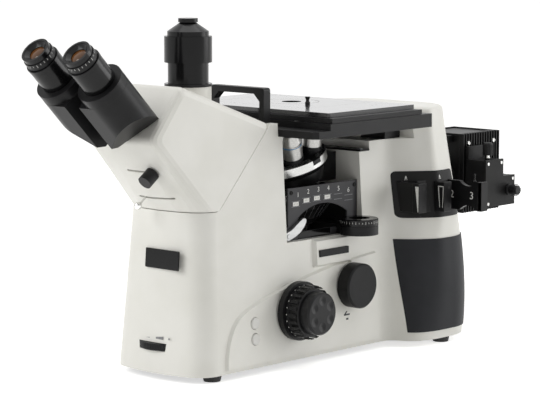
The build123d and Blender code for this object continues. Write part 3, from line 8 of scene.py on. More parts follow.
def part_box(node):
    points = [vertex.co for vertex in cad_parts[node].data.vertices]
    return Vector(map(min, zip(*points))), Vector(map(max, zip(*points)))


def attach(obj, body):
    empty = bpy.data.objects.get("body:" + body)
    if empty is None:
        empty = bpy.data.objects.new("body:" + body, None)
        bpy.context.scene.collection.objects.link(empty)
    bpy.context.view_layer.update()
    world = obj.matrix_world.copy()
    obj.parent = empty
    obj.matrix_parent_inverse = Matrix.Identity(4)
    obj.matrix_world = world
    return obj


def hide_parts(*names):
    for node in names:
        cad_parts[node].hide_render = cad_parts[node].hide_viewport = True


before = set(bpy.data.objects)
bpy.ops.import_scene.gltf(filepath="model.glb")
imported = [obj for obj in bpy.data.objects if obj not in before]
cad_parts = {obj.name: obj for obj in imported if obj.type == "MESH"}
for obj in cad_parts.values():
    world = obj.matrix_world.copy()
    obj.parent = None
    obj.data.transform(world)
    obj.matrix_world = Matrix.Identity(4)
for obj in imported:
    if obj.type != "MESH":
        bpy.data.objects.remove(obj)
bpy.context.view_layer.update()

bl_info = {
    "name": "Inverted Microscope Dressing",
    "version": (1, 0, 0),
    "blender": (4, 5, 0),
    "location": "3D View > Sidebar > Microscope",
    "description": "Finishes, scales, screws and trim for an inverted microscope, with its studio",
    "category": "Add Mesh",
}

MM = 0.001
TILT = radians(18)
TUBE_AXIS = Vector((0, -sqrt(0.5), sqrt(0.5)))
TUBE_RISE = Vector((0, sqrt(0.5), sqrt(0.5)))
TURRET_AXIS = Vector((0, -sin(TILT), cos(TILT)))
TURRET_REAR = Vector((0, cos(TILT), sin(TILT)))
RIGHT = Vector((1, 0, 0))
UP = Vector((0, 0, 1))
REAR = Vector((0, 1, 0))
FRONT_FACE = Vector((0, -1, 0.07))
EYE_SPACING = 33.8
SEAT_CIRCLE = 34.5
TURRET_HUB = Vector((0, 36, 261.8)) - TURRET_REAR * SEAT_CIRCLE
TURRET_RADIUS = 52.02
POLARISER = Vector((81.4, 53.0, 0))
WHEEL = Vector((0, 12, 0))
FOCUS_AXIS = Vector((0, -58.3, 69.4))
NUMBER_FACE = 57.0
STAGE_CUT = 280.02


def settings():
    """The sizes and colours set in the sidebar."""
    return bpy.context.scene.microscope


def linear(colour):
    """Linear RGBA from an sRGB hex colour."""
    parts = [int(colour[i:i + 2], 16) / 255 for i in (1, 3, 5)]
    return tuple(c / 12.92 if c <= 0.04045 else ((c + 0.055) / 1.055) ** 2.4 for c in parts) + (1.0,)


# Materials

def add_node(tree, kind, sockets=None, **options):
    """Adds a node: options are its properties, sockets its values or the outputs that feed it."""
    made = tree.nodes.new(kind)
    for key, value in options.items():
        setattr(made, key, value)
    for key, value in (sockets or {}).items():
        if isinstance(value, bpy.types.NodeSocket):
            tree.links.new(value, made.inputs[key])
        else:
            made.inputs[key].default_value = value
    return made


def new_material(name):
    """An empty node material, its tree, and where a point lies on the piece."""
    made = bpy.data.materials.new(name)
    made.use_nodes = True
    tree = made.node_tree
    tree.nodes.clear()
    return made, tree, add_node(tree, "ShaderNodeTexCoord").outputs["Object"]


def close_material(tree, shader):
    """Joins the shader to the output."""
    add_node(tree, "ShaderNodeOutputMaterial", {"Surface": shader.outputs[0]})


def noise(tree, place, size_mm, detail):
    """Noise whose patches are about a size in mm."""
    return add_node(tree, "ShaderNodeTexNoise", {
        "Vector": place, "Scale": 1 / (size_mm * MM), "Detail": detail})


def spread(tree, pattern, low, high):
    """Runs a pattern between two values, for a gloss that isn't even."""
    between = add_node(tree, "ShaderNodeMapRange", {
        "Value": pattern.outputs["Fac"], "To Min": low, "To Max": high})
    return between.outputs["Result"]


def bumps(tree, height, strength, depth_mm):
    """Fine relief from a pattern, by its depth in mm."""
    made = add_node(tree, "ShaderNodeBump", {
        "Height": height, "Strength": strength, "Distance": depth_mm * MM})
    return made.outputs["Normal"]


def plain_sight(tree):
    """One where a ray comes from the camera, a gloss or a glass, and zero elsewhere."""
    path = add_node(tree, "ShaderNodeLightPath")
    seen = path.outputs["Is Camera Ray"]
    for kind in ("Is Glossy Ray", "Is Transmission Ray"):
        both = add_node(tree, "ShaderNodeMath", {0: seen, 1: path.outputs[kind]}, operation="MAXIMUM")
        seen = both.outputs[0]
    return seen


def two_tones(tree, pattern, dark, light):
    """Colour that wanders between two tones with a noise."""
    ramp = add_node(tree, "ShaderNodeValToRGB", {"Fac": pattern.outputs["Fac"]})
    ramp.color_ramp.elements[0].position = 0.35
    ramp.color_ramp.elements[0].color = linear(dark)
    ramp.color_ramp.elements[1].position = 0.65
    ramp.color_ramp.elements[1].color = linear(light)
    return ramp.outputs["Color"]


def powder_coat(name, dark, light, roughness, grain_mm=1.6, depth_mm=0.02, sheen=0.4):
    """Polyester powder coat baked on cast metal: a faint orange peel softens every highlight."""
    made, tree, place = new_material(name)
    tone = noise(tree, place, 60, 3.0)
    peel = noise(tree, place, grain_mm, 2.0)
    close_material(tree, add_node(tree, "ShaderNodeBsdfPrincipled", {
        "Base Color": two_tones(tree, tone, dark, light),
        "Roughness": spread(tree, tone, roughness - 0.04, roughness + 0.04),
        "Normal": bumps(tree, peel.outputs["Fac"], 0.25, depth_mm), "Specular IOR Level": sheen,
        "Coat Weight": sheen / 4, "Coat Roughness": 0.25}))
    return made


def moulded_plastic(name, dark, light, roughness, grain_mm=0.9, depth_mm=0.03, sheen=0.16):
    """Injection-moulded ABS from a spark-eroded tool: an even matt grain with a soft sheen."""
    made, tree, place = new_material(name)
    tone = noise(tree, place, 35, 4.0)
    grain = add_node(tree, "ShaderNodeTexVoronoi", {"Vector": place, "Scale": 1 / (grain_mm * MM)})
    close_material(tree, add_node(tree, "ShaderNodeBsdfPrincipled", {
        "Base Color": two_tones(tree, tone, dark, light),
        "Roughness": spread(tree, tone, roughness - 0.05, roughness + 0.05),
        "Normal": bumps(tree, grain.outputs["Distance"], 0.3, depth_mm), "Specular IOR Level": sheen}))
    return made


def anodised_black(name, dark, light, roughness, coat=0.0, blast_mm=0.5):
    """Black anodised aluminium, bead blasted first: deep grey, with a broad silky highlight."""
    made, tree, place = new_material(name)
    tone = noise(tree, place, 45, 3.0)
    blast = noise(tree, place, blast_mm, 2.0)
    close_material(tree, add_node(tree, "ShaderNodeBsdfPrincipled", {
        "Base Color": two_tones(tree, tone, dark, light),
        "Roughness": spread(tree, blast, roughness - 0.06, roughness + 0.06),
        "Normal": bumps(tree, blast.outputs["Fac"], 0.15, 0.01), "Specular IOR Level": 0.18,
        "Coat Weight": coat, "Coat Roughness": 0.12}))
    return made


def plated_metal(name, dark, light, roughness, line_mm=0.35):
    """Satin chrome or clear anodised aluminium, turned on a lathe: fine rings draw out the light."""
    made, tree, place = new_material(name)
    squash = add_node(tree, "ShaderNodeMapping", {"Vector": place, "Scale": (0.15, 0.15, 1.0)})
    lines = noise(tree, squash.outputs["Vector"], line_mm, 2.0)
    close_material(tree, add_node(tree, "ShaderNodeBsdfPrincipled", {
        "Base Color": two_tones(tree, lines, dark, light),
        "Roughness": spread(tree, lines, roughness - 0.05, roughness + 0.08),
        "Normal": bumps(tree, lines.outputs["Fac"], 0.12, 0.01), "Metallic": 1.0}))
    return made


def rubber(name, dark, light):
    """Moulded nitrile rubber: nearly matt, with a dusty bloom."""
    made, tree, place = new_material(name)
    bloom = noise(tree, place, 8, 6.0)
    close_material(tree, add_node(tree, "ShaderNodeBsdfPrincipled", {
        "Base Color": two_tones(tree, bloom, dark, light), "Roughness": spread(tree, bloom, 0.6, 0.8),
        "Normal": bumps(tree, bloom.outputs["Fac"], 0.2, 0.05), "IOR": 1.52}))
    return made


def glass_lens_painted_reflection(name):
    """Crown glass with a magnesium fluoride coat: dark and clear, with a painted amber reflection that blooms
    towards the rim.
    """
    made, tree, place = new_material(name)
    edge = add_node(tree, "ShaderNodeLayerWeight", {"Blend": 0.35})
    haze = noise(tree, place, 14, 1.0)
    # Painted reflection: the base colour runs from near black where the glass faces the view to amber where
    # it is seen at a slant.
    ramp = add_node(tree, "ShaderNodeValToRGB", {"Fac": edge.outputs["Facing"]})
    ramp.color_ramp.elements[0].color = linear("#070505")
    ramp.color_ramp.elements[1].color = linear("#8A5A26")
    close_material(tree, add_node(tree, "ShaderNodeBsdfPrincipled", {
        "Base Color": ramp.outputs["Color"], "Roughness": spread(tree, haze, 0.02, 0.07), "IOR": 1.52,
        "Specular IOR Level": 0.35, "Coat Weight": 0.25, "Coat Roughness": 0.03,
        "Coat Tint": linear("#FFC987")}))
    return made


def printed_ink(name, dark, light, roughness=0.5):
    """Screen-printed ink: a thin, slightly uneven film. Made near black, the same film also serves as painted
    shade in gaps, grooves and holes.
    """
    made, tree, place = new_material(name)
    film = noise(tree, place, 2, 3.0)
    close_material(tree, add_node(tree, "ShaderNodeBsdfPrincipled", {
        "Base Color": two_tones(tree, film, dark, light),
        "Roughness": spread(tree, film, roughness - 0.08, roughness + 0.08), "IOR": 1.48}))
    return made


def studio_paper(name, colour):
    """Matt backdrop paper: pure white to the camera, gloss and glass, but for the object's soft shadow."""
    made, tree, place = new_material(name)
    fibre = noise(tree, place, 40, 4.0)
    paper = add_node(tree, "ShaderNodeBsdfPrincipled", {
        "Base Color": two_tones(tree, fibre, colour, "#FFFFFF"), "Roughness": 0.7})
    glow = add_node(tree, "ShaderNodeEmission", {"Color": (1.0, 1.0, 1.0, 1.0), "Strength": 0.62})
    both = add_node(tree, "ShaderNodeAddShader", {0: paper.outputs[0], 1: glow.outputs[0]})
    close_material(tree, add_node(tree, "ShaderNodeMixShader", {
        0: plain_sight(tree), 1: paper.outputs[0], 2: both.outputs[0]}))
    return made


def make_materials():
    """All finishes, by the short name that the pieces use."""
    s = settings()
    return {
        "enamel": powder_coat("powder_coat_warm_white", s.enamel_shade, s.enamel_colour, 0.42),
        "head_enamel": powder_coat("powder_coat_head", s.enamel_shade, s.enamel_colour, 0.38),
        "grey_enamel": powder_coat(
            "powder_coat_charcoal", "#222326", "#292A2D", 0.5, depth_mm=0.05, sheen=0.15),
        "slate_enamel": powder_coat(
            "powder_coat_slate", "#37373A", "#404042", 0.45, depth_mm=0.04, sheen=0.2),
        "panel_enamel": powder_coat(
            "powder_coat_graphite", "#181818", "#1F1F1F", 0.42, depth_mm=0.04, sheen=0.12),
        "button": moulded_plastic("abs_white_moulded", "#DEDDD8", "#E9E9E6", 0.45, sheen=0.4),
        "abs": moulded_plastic("abs_black_moulded", "#141415", "#1B1B1C", 0.42),
        "knob": moulded_plastic("abs_black_soft_touch", "#161617", "#1E1E1F", 0.36, grain_mm=0.7, sheen=0.2),
        "tube_abs": moulded_plastic(
            "abs_black_satin", "#151516", "#1D1D1E", 0.34, grain_mm=0.6, depth_mm=0.015),
        "anodised": anodised_black("aluminium_black_anodised", "#131314", "#1C1C1D", 0.34),
        "stage_top": anodised_black("aluminium_black_anodised_ground", "#202021", "#2B2B2D", 0.24, coat=1.0),
        "bright_anodised": anodised_black("aluminium_black_turned", "#0B0B0C", "#131314", 0.2, coat=0.12),
        "cast_fin": anodised_black("aluminium_black_extruded", "#0E0E0F", "#161617", 0.36),
        "silver": plated_metal("aluminium_clear_anodised", "#B4B5B4", "#D0D0CE", 0.26),
        "barrel": plated_metal("chrome_satin_plated", "#9C9C9A", "#BAB9B6", 0.3),
        "chrome": plated_metal("chrome_bright_plated", "#D5D5D3", "#ECECEA", 0.1),
        "lever_steel": plated_metal("steel_nickel_plated_tumbled", "#A9AAAA", "#B6B7B6", 0.36, line_mm=6.0),
        "steel": plated_metal("steel_ground", "#8D8E90", "#A9AAAB", 0.3),
        "rubber": rubber("nitrile_rubber_black", "#161616", "#212121"),
        "lens": glass_lens_painted_reflection("crown_glass_painted_reflection"),
        "white_ink": printed_ink("screen_ink_white", "#DADAD6", "#F2F2EE"),
        "grey_ink": printed_ink("screen_ink_grey", "#77787A", "#8D8E8F"),
        "dark_ink": printed_ink("screen_ink_black", "#1B1B1C", "#2C2C2D"),
        "blue_ink": printed_ink("anodised_blue_ring", "#1F6FA8", "#2F86C0", 0.3),
        "label": printed_ink("card_label_white", "#E6E5E0", "#F6F5F1", 0.6),
        "plate": anodised_black("acrylic_plate_black", "#080809", "#101011", 0.1),
        # Flat near-black film that stands in as painted shade in gaps, grooves, holes and the bay.
        "void": printed_ink("shadow_gap_black", "#060606", "#0C0C0C", 0.8),
    }


FINISHES = {}


# Mesh helpers

def piece(name, mesh, finish, body, smooth=True):
    """Turns a bmesh (in mm) into a named object with its finish, riding on a body."""
    bmesh.ops.remove_doubles(mesh, verts=mesh.verts, dist=0.0005)
    bmesh.ops.recalc_face_normals(mesh, faces=mesh.faces)
    bmesh.ops.scale(mesh, vec=(MM, MM, MM), verts=mesh.verts)
    data = bpy.data.meshes.new(name)
    mesh.to_mesh(data)
    mesh.free()
    made = bpy.data.objects.new(name, data)
    bpy.context.scene.collection.objects.link(made)
    data.materials.append(FINISHES[finish])
    if smooth:
        for face in data.polygons:
            face.use_smooth = True
        data.set_sharp_from_angle(angle=radians(35))
    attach(made, body)
    return made


def basis(axis, origin):
    """Matrix whose Z runs along an axis from an origin, with X kept level where it can be."""
    z = Vector(axis).normalized()
    x = UP.cross(z) if abs(z.z) < 0.999 else RIGHT.copy()
    x.normalize()
    return Matrix.Translation(Vector(origin)) @ Matrix((x, z.cross(x), z)).transposed().to_4x4()


def turned(mesh, origin, axis, profile, steps=64, start=0.0, sweep=2 * pi):
    """Adds a turned body: its profile is (radius, distance) pairs, swept about the axis."""
    place = basis(axis, origin)
    whole = sweep >= 2 * pi - 1e-6
    count = steps if whole else steps + 1
    rings = []
    for i in range(count):
        a = start + sweep * i / steps
        rings.append([mesh.verts.new(place @ Vector((r * cos(a), r * sin(a), d))) for r, d in profile])
    for i in range(steps):
        one, two = rings[i], rings[(i + 1) % count]
        for k in range(len(profile)):
            n = (k + 1) % len(profile)
            corners = [one[k], one[n], two[n], two[k]]
            mesh.faces.new(corners)
    if not whole:
        mesh.faces.new(rings[0])
        mesh.faces.new(list(reversed(rings[-1])))


def prism(mesh, place, outline, height, bevel=0.0):
    """Adds a plate: an outline in the XY of a matrix, raised along its Z, with a bevelled upper edge."""
    middle = sum((Vector(p) for p in outline), Vector((0, 0))) / len(outline)
    levels = [(0.0, 0.0), (height - bevel, 0.0)]
    if bevel:
        levels.append((height, bevel))
    rings = []
    for z, inset in levels:
        ring = []
        for p in outline:
            away = Vector(p) - middle
            scale = max(1 - inset / max(away.length, 0.001), 0.05)
            ring.append(mesh.verts.new(place @ Vector((*(middle + away * scale), z))))
        rings.append(ring)
    count = len(outline)
    for low, high in zip(rings, rings[1:]):
        for i in range(count):
            mesh.faces.new([low[i], low[(i + 1) % count], high[(i + 1) % count], high[i]])
    mesh.faces.new(list(reversed(rings[0])))
    mesh.faces.new(rings[-1])


def slab(mesh, low, high, bevel=0.4):
    """Adds a block between two corners, its edges broken by a small bevel."""
    made = bmesh.new()
    bmesh.ops.create_cube(made, size=1.0)
    size = Vector(high) - Vector(low)
    middle = (Vector(high) + Vector(low)) / 2
    place = Matrix.Translation(middle) @ Matrix.Diagonal((*size, 1.0))
    bmesh.ops.transform(made, matrix=place, verts=made.verts)
    bevel = min(bevel, min(size) * 0.4)
    bmesh.ops.bevel(made, geom=made.edges[:], offset=bevel, segments=1, affect="EDGES")
    data = bpy.data.meshes.new("slab")
    made.to_mesh(data)
    made.free()
    mesh.from_mesh(data)
    bpy.data.meshes.remove(data)


def strike(node, origin, way):
    """Where a line from outside first meets a node, in mm."""
    hit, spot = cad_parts[node].ray_cast(Vector(origin) * MM, Vector(way))[:2]
    if not hit:
        raise RuntimeError(f"{node} isn't met from {tuple(origin)}")
    return spot / MM


def skin_x(node, y, z):
    """How far out a node's right side lies at a depth and a height, in mm."""
    return strike(node, (400, y, z), -RIGHT).x


def around(count, across=RIGHT, up=REAR):
    """Directions evenly spaced about a circle."""
    for i in range(count):
        a = 2 * pi * i / count
        yield across * cos(a) + up * sin(a)


def bar(length, width):
    """Outline of a rectangle, about the origin."""
    x = length / 2
    y = width / 2
    return [(-x, -y), (x, -y), (x, y), (-x, y)]


def ribbed(mesh, origin, axis, profile, ribs, depth, low, high):
    """A turned knob with raised ribs along its grip between two distances."""
    turned(mesh, origin, axis, profile)
    place = basis(axis, origin).to_3x3()
    grip = max(point[0] for point in profile)
    middle = Vector(origin) + Vector(axis).normalized() * ((low + high) / 2)
    for out in around(ribs, place.col[0], place.col[1]):
        prism(mesh, facing(middle + out * (grip - 0.05), axis, out), bar(high - low, grip * pi / ribs),
              depth, bevel=depth / 2)


def rounded(width, height, radius, steps=5):
    """Outline of a rectangle with round corners, about the origin."""
    points = []
    for cx, cy, a in ((1, 1, 0), (-1, 1, 90), (-1, -1, 180), (1, -1, 270)):
        for i in range(steps + 1):
            b = radians(a + 90 * i / steps)
            points.append((cx * (width / 2 - radius) + radius * cos(b),
                           cy * (height / 2 - radius) + radius * sin(b)))
    return points


def facing(origin, x_axis, normal):
    """Matrix with X and Z as given, for something that lies on a face."""
    x = Vector(x_axis).normalized()
    z = Vector(normal).normalized()
    y = z.cross(x).normalized()
    x = y.cross(z)
    return Matrix.Translation(Vector(origin)) @ Matrix((x, y, z)).transposed().to_4x4()


def screw(mesh, origin, axis, radius=2.2, height=1.4, recess=0.55):
    """A button-head socket screw."""
    socket = radius * recess
    floor = height - 0.9 * socket / 2
    turned(mesh, origin, axis, [
        (0.001, floor), (socket * 0.9, floor), (socket, height), (radius * 0.72, height),
        (radius * 0.93, height * 0.72), (radius, height * 0.3), (radius, 0.0), (0.001, 0.0)], steps=20)


def numeral(name, text, place, size, finish, body):
    """A plain printed number, as a thin raised film."""
    curve = bpy.data.curves.new(name, "FONT")
    curve.body = text
    curve.size = size * MM
    curve.align_x = "CENTER"
    curve.align_y = "CENTER"
    curve.extrude = 0.04 * MM
    holder = bpy.data.objects.new(name + "_text", curve)
    bpy.context.scene.collection.objects.link(holder)
    bpy.context.view_layer.update()
    data = bpy.data.meshes.new_from_object(holder.evaluated_get(bpy.context.evaluated_depsgraph_get()))
    bpy.data.objects.remove(holder)
    move = place.copy()
    move.translation = place.translation * MM
    data.transform(move)
    data.name = name
    made = bpy.data.objects.new(name, data)
    bpy.context.scene.collection.objects.link(made)
    data.materials.clear()
    data.materials.append(FINISHES[finish])
    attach(made, body)
    return made


def tube_point(x, rise, depth):
    """A point beside the viewing tubes, by its rise across them and its depth below the eye rings."""
    return Vector((x, -379.4, 395.0)) + TUBE_RISE * rise - TUBE_AXIS * depth


def seat(place):
    """The middle of a turret seat and the direction of its objective."""
    a = radians(60 * place)
    outward = TURRET_REAR * cos(a) + RIGHT * sin(a)
    return TURRET_HUB + outward * SEAT_CIRCLE, TURRET_AXIS * cos(TILT) + outward * sin(TILT)


# Settings

class MicroscopeSettings(bpy.types.PropertyGroup):
    """Sizes and colours of the dressing."""
    enamel_colour: bpy.props.StringProperty(
        name="Enamel", description="Light tone of the stand's enamel, as a hex colour", default="#EDECE6")
    enamel_shade: bpy.props.StringProperty(
        name="Enamel shade", description="Dark tone of the stand's enamel, as a hex colour",
        default="#E7E6DF")
    numeral_height: bpy.props.FloatProperty(
        name="Numeral size", description="Size of the panel's numbers", default=8.4, min=2.0, unit="NONE")
    dial_ribs: bpy.props.IntProperty(
        name="Dial ribs", description="Number of ribs around the intensity dial", default=90, min=12)
    dioptre_marks: bpy.props.IntProperty(
        name="Dioptre marks", description="Number of marks around a dioptre ring", default=24, min=6)
    coarse_dots: bpy.props.IntProperty(
        name="Coarse dots", description="Number of white dots around the coarse knob", default=24, min=6)
    floor_size: bpy.props.FloatProperty(
        name="Floor", description="Side of the studio floor", default=16.0, min=2.0, unit="LENGTH")
    lamp_power: bpy.props.FloatProperty(
        name="Key light", description="Power of the main soft light", default=50.0, min=0.0, unit="POWER")


# Operators

class MicroscopeStudio(bpy.types.Operator):
    """Adds the floor, the soft lights, the backdrop and the camera"""
    bl_idname = "microscope.studio"
    bl_label = "Studio"

    def execute(self, context):
        s = settings()
        mesh = bmesh.new()
        half = s.floor_size / 2
        bmesh.ops.create_grid(mesh, x_segments=24, y_segments=24, size=half)
        data = bpy.data.meshes.new("studio_floor")
        mesh.to_mesh(data)
        mesh.free()
        floor = bpy.data.objects.new("studio_floor", data)
        context.scene.collection.objects.link(floor)
        data.materials.append(studio_paper("backdrop_paper_white", "#F4F4F2"))
        world = bpy.data.worlds.new("studio_world")
        context.scene.world = world
        world.use_nodes = True
        tree = world.node_tree
        tree.nodes.clear()
        soft = add_node(tree, "ShaderNodeBackground", {"Color": (1.0, 0.99, 0.97, 1.0), "Strength": 0.34})
        white = add_node(tree, "ShaderNodeBackground", {"Color": (1.0, 1.0, 1.0, 1.0), "Strength": 1.0})
        mixed = add_node(tree, "ShaderNodeMixShader", {
            0: plain_sight(tree), 1: soft.outputs[0], 2: white.outputs[0]})
        add_node(tree, "ShaderNodeOutputWorld", {"Surface": mixed.outputs[0]})
        for name, spot, size, power in (
                ("key_softbox", (-1.3, -2.6, 1.9), 1.9, s.lamp_power),
                ("top_softbox", (0.2, 0.3, 2.6), 2.4, s.lamp_power * 0.46),
                ("side_softbox", (1.7, 1.9, 0.9), 1.4, s.lamp_power * 0.4)):
            lamp = bpy.data.lights.new(name, "AREA")
            lamp.shape = "SQUARE"
            lamp.size = size
            lamp.energy = power
            holder = bpy.data.objects.new(name, lamp)
            context.scene.collection.objects.link(holder)
            holder.location = spot
            aim = Vector((0, 0, 0.2)) - Vector(spot)
            holder.rotation_euler = aim.to_track_quat("-Z", "Y").to_euler()
        data = bpy.data.cameras.new("photo_camera")
        data.lens = 162.0
        data.sensor_width = 36.0
        data.clip_end = 60.0
        camera = bpy.data.objects.new("photo_camera", data)
        context.scene.collection.objects.link(camera)
        across = Vector((0.74198, 0.67043, 0.0))
        down = Vector((0.08751, -0.09685, -0.99144))
        ahead = Vector((-0.66469, 0.73563, -0.13053))
        place = Matrix((across, -down, -ahead)).transposed().to_4x4()
        place.translation = Vector((1.9974, -2.2322, 0.5754))
        camera.matrix_world = place
        context.scene.camera = camera
        context.scene.view_settings.view_transform = "Standard"
        return {"FINISHED"}


class MicroscopeFinishes(bpy.types.Operator):
    """Gives every solid of the frame its finish"""
    bl_idname = "microscope.finishes"
    bl_label = "Finishes"

    def execute(self, context):
        FINISHES.update(make_materials())
        chosen = {
            "enamel": ["main_frame", "rear_column", "side_covers", "camera_port_base"],
            "head_enamel": ["head_shell"],
            "grey_enamel": ["rear_side_panels", "base_plate"],
            "slate_enamel": ["number_panel"],
            "panel_enamel": ["illuminator_panel"],
            "button": ["upper_button", "lower_button"],
            "abs": ["power_inlet", "analyser_slider", "lamp_holder", "side_port_cap"],
            "knob": ["coarse_knobs", "fine_knobs", "tension_ring", "intensity_dial", "beam_knob",
                     "lamp_knob_vertical", "lamp_knob_side", "dioptre_ring_right", "dioptre_ring_left"],
            "tube_abs": ["eyepiece_body_right", "eyepiece_body_left"],
            "anodised": ["stage_base", "stage_y_plate", "carry_handle", "illuminator_tube",
                         "nosepiece_bracket", "stage_y_knob", "stage_x_knob", "field_stop_slider",
                         "aperture_slider", "filter_slider", "polariser_tray", "contrast_turret",
                         "objective_turret"],
            "stage_top": ["stage_x_plate", "stage_insert"],
            "bright_anodised": ["camera_adapter", "camera_port_cap", "eyepiece_right", "eyepiece_left",
                                "polariser_ring", "stage_clip_post"],
            "cast_fin": ["lamp_house"],
            "silver": ["lamp_bulb"],
            "barrel": ["objective_1", "objective_2", "objective_3", "objective_4"],
            "chrome": ["ball_lever", "light_path_lever"],
            "steel": ["pivot_pin"],
            "rubber": ["feet"],
            "lens": ["eye_lens_right", "eye_lens_left"],
        }
        for finish, names in chosen.items():
            for name in names:
                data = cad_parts[name].data
                data.materials.clear()
                data.materials.append(FINISHES[finish])
        left = set(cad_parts) - {n for names in chosen.values() for n in names}
        if left:
            raise RuntimeError(f"no finish for {sorted(left)}")
        return {"FINISHED"}


class MicroscopeHeadMarks(bpy.types.Operator):
    """Adds the blank name plate, and the wedge and dot that say dim and bright above the dial"""
    bl_idname = "microscope.head_marks"
    bl_label = "Head marks"

    def execute(self, context):
        mesh = bmesh.new()
        place = facing((12.5, -223.6, 144.0), RIGHT, FRONT_FACE)
        prism(mesh, place, rounded(55, 23, 1.2), 1.3, bevel=0.5)
        piece("name_plate_blank", mesh, "plate", "stand")
        mesh = bmesh.new()
        place = facing((3.5, -228.75, 51.0), RIGHT, FRONT_FACE)
        prism(mesh, place, [(-14.5, -1.9), (14.5, -1.9), (14.5, 1.9)], 0.15)
        turned(mesh, place @ Vector((24, 0, 0)), FRONT_FACE,
               [(0.01, 0), (1.3, 0), (1.3, 0.15), (0.01, 0.15)], 20)
        piece("brightness_wedge", mesh, "grey_ink", "stand", smooth=False)
        return {"FINISHED"}


class MicroscopeEyepieceTrim(bpy.types.Operator):
    """Adds the dioptre scales, bands, painted shade in the collar grooves, lens cups and domed lenses of the
    viewing tubes
    """
    bl_idname = "microscope.eyepiece_trim"
    bl_label = "Eyepiece trim"

    def execute(self, context):
        s = settings()
        for label, side in (("right", 1), ("left", -1)):
            tube = "viewing_tube_" + label
            eye = "eyepiece_unit_" + label
            x = EYE_SPACING * side
            mesh = bmesh.new()
            for i, way in enumerate(around(s.dioptre_marks, RIGHT, TUBE_RISE)):
                long = 3.6 if i % 4 == 0 else 2.2
                spot = tube_point(x, 0, 7.4 + long / 2) + way * 18.6
                prism(mesh, facing(spot, TUBE_AXIS, way), bar(long, 0.5), 0.08)
            piece("dioptre_scale_" + label, mesh, "white_ink", "dioptre_" + label,
                  smooth=False)
            mesh = bmesh.new()
            turned(mesh, tube_point(x, 0, 20.5), TUBE_AXIS,
                   [(20.2, 0), (20.55, 0.3), (20.55, 4.6), (20.2, 4.9)], 72)
            piece("eyepiece_band_" + label, mesh, "bright_anodised", eye)
            # A thin near-black ring round the collar: painted shade in its groove.
            mesh = bmesh.new()
            turned(mesh, tube_point(x, 0, 62.4), TUBE_AXIS,
                   [(28.3, -0.35), (28.47, -0.35), (28.47, 0.35), (28.3, 0.35)], 80)
            piece("collar_groove_shade_" + label, mesh, "void", tube)
            mesh = bmesh.new()
            turned(mesh, tube_point(x, 0, 6.0), TUBE_AXIS, [
                (15.0, 5.2), (14.3, 5.4), (10.4, 1.9), (9.6, 1.5), (9.6, 0.4), (15.0, 0.4)], 72)
            piece("lens_retainer_" + label, mesh, "bright_anodised", eye)
            mesh = bmesh.new()
            turned(mesh, tube_point(x, 0, 6.0), TUBE_AXIS, [
                (0.01, 2.1), (4.5, 1.85), (8.0, 1.1), (9.5, 0.5), (9.5, 0.2), (0.01, 0.2)], 72)
            made = piece("eye_lens_domed_" + label, mesh, "lens", eye)
            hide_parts("eye_lens_" + label)
        return {"FINISHED"}


class MicroscopeStageSupports(bpy.types.Operator):
    """Puts the stage base on supports at the column's shoulder and covers the rear block"""
    bl_idname = "microscope.stage_supports"
    bl_label = "Stage supports"

    def execute(self, context):
        mesh = bmesh.new()
        mesh.from_mesh(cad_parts["stage_base"].data)
        bmesh.ops.scale(mesh, vec=(1 / MM, 1 / MM, 1 / MM), verts=mesh.verts)
        whole = mesh.verts[:] + mesh.edges[:] + mesh.faces[:]
        cut = bmesh.ops.bisect_plane(mesh, geom=whole, dist=0.001, plane_co=(0, 0, STAGE_CUT), plane_no=UP,
                                     clear_inner=True)
        rim = [e for e in cut["geom_cut"] if isinstance(e, bmesh.types.BMEdge)]
        bmesh.ops.triangle_fill(mesh, edges=rim, use_beauty=True)
        for left in (-60, 20):
            slab(mesh, (left, 128, 262.3), (left + 40, 158, 280.1))
        made = piece("stage_base_on_shoulder", mesh, "anodised", "stand", smooth=False)
        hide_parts("stage_base")
        mesh = bmesh.new()
        slab(mesh, (-60.5, 79.5, 250.1), (60.5, 97.5, 252.4), 0.5)
        piece("block_cover", mesh, "anodised", "stand", smooth=False)
        mesh = bmesh.new()
        for x in (-54, 54):
            screw(mesh, (x, 88, 252.4), UP, 2.4, 1.2)
        piece("block_cover_screws", mesh, "steel", "stand")
        return {"FINISHED"}


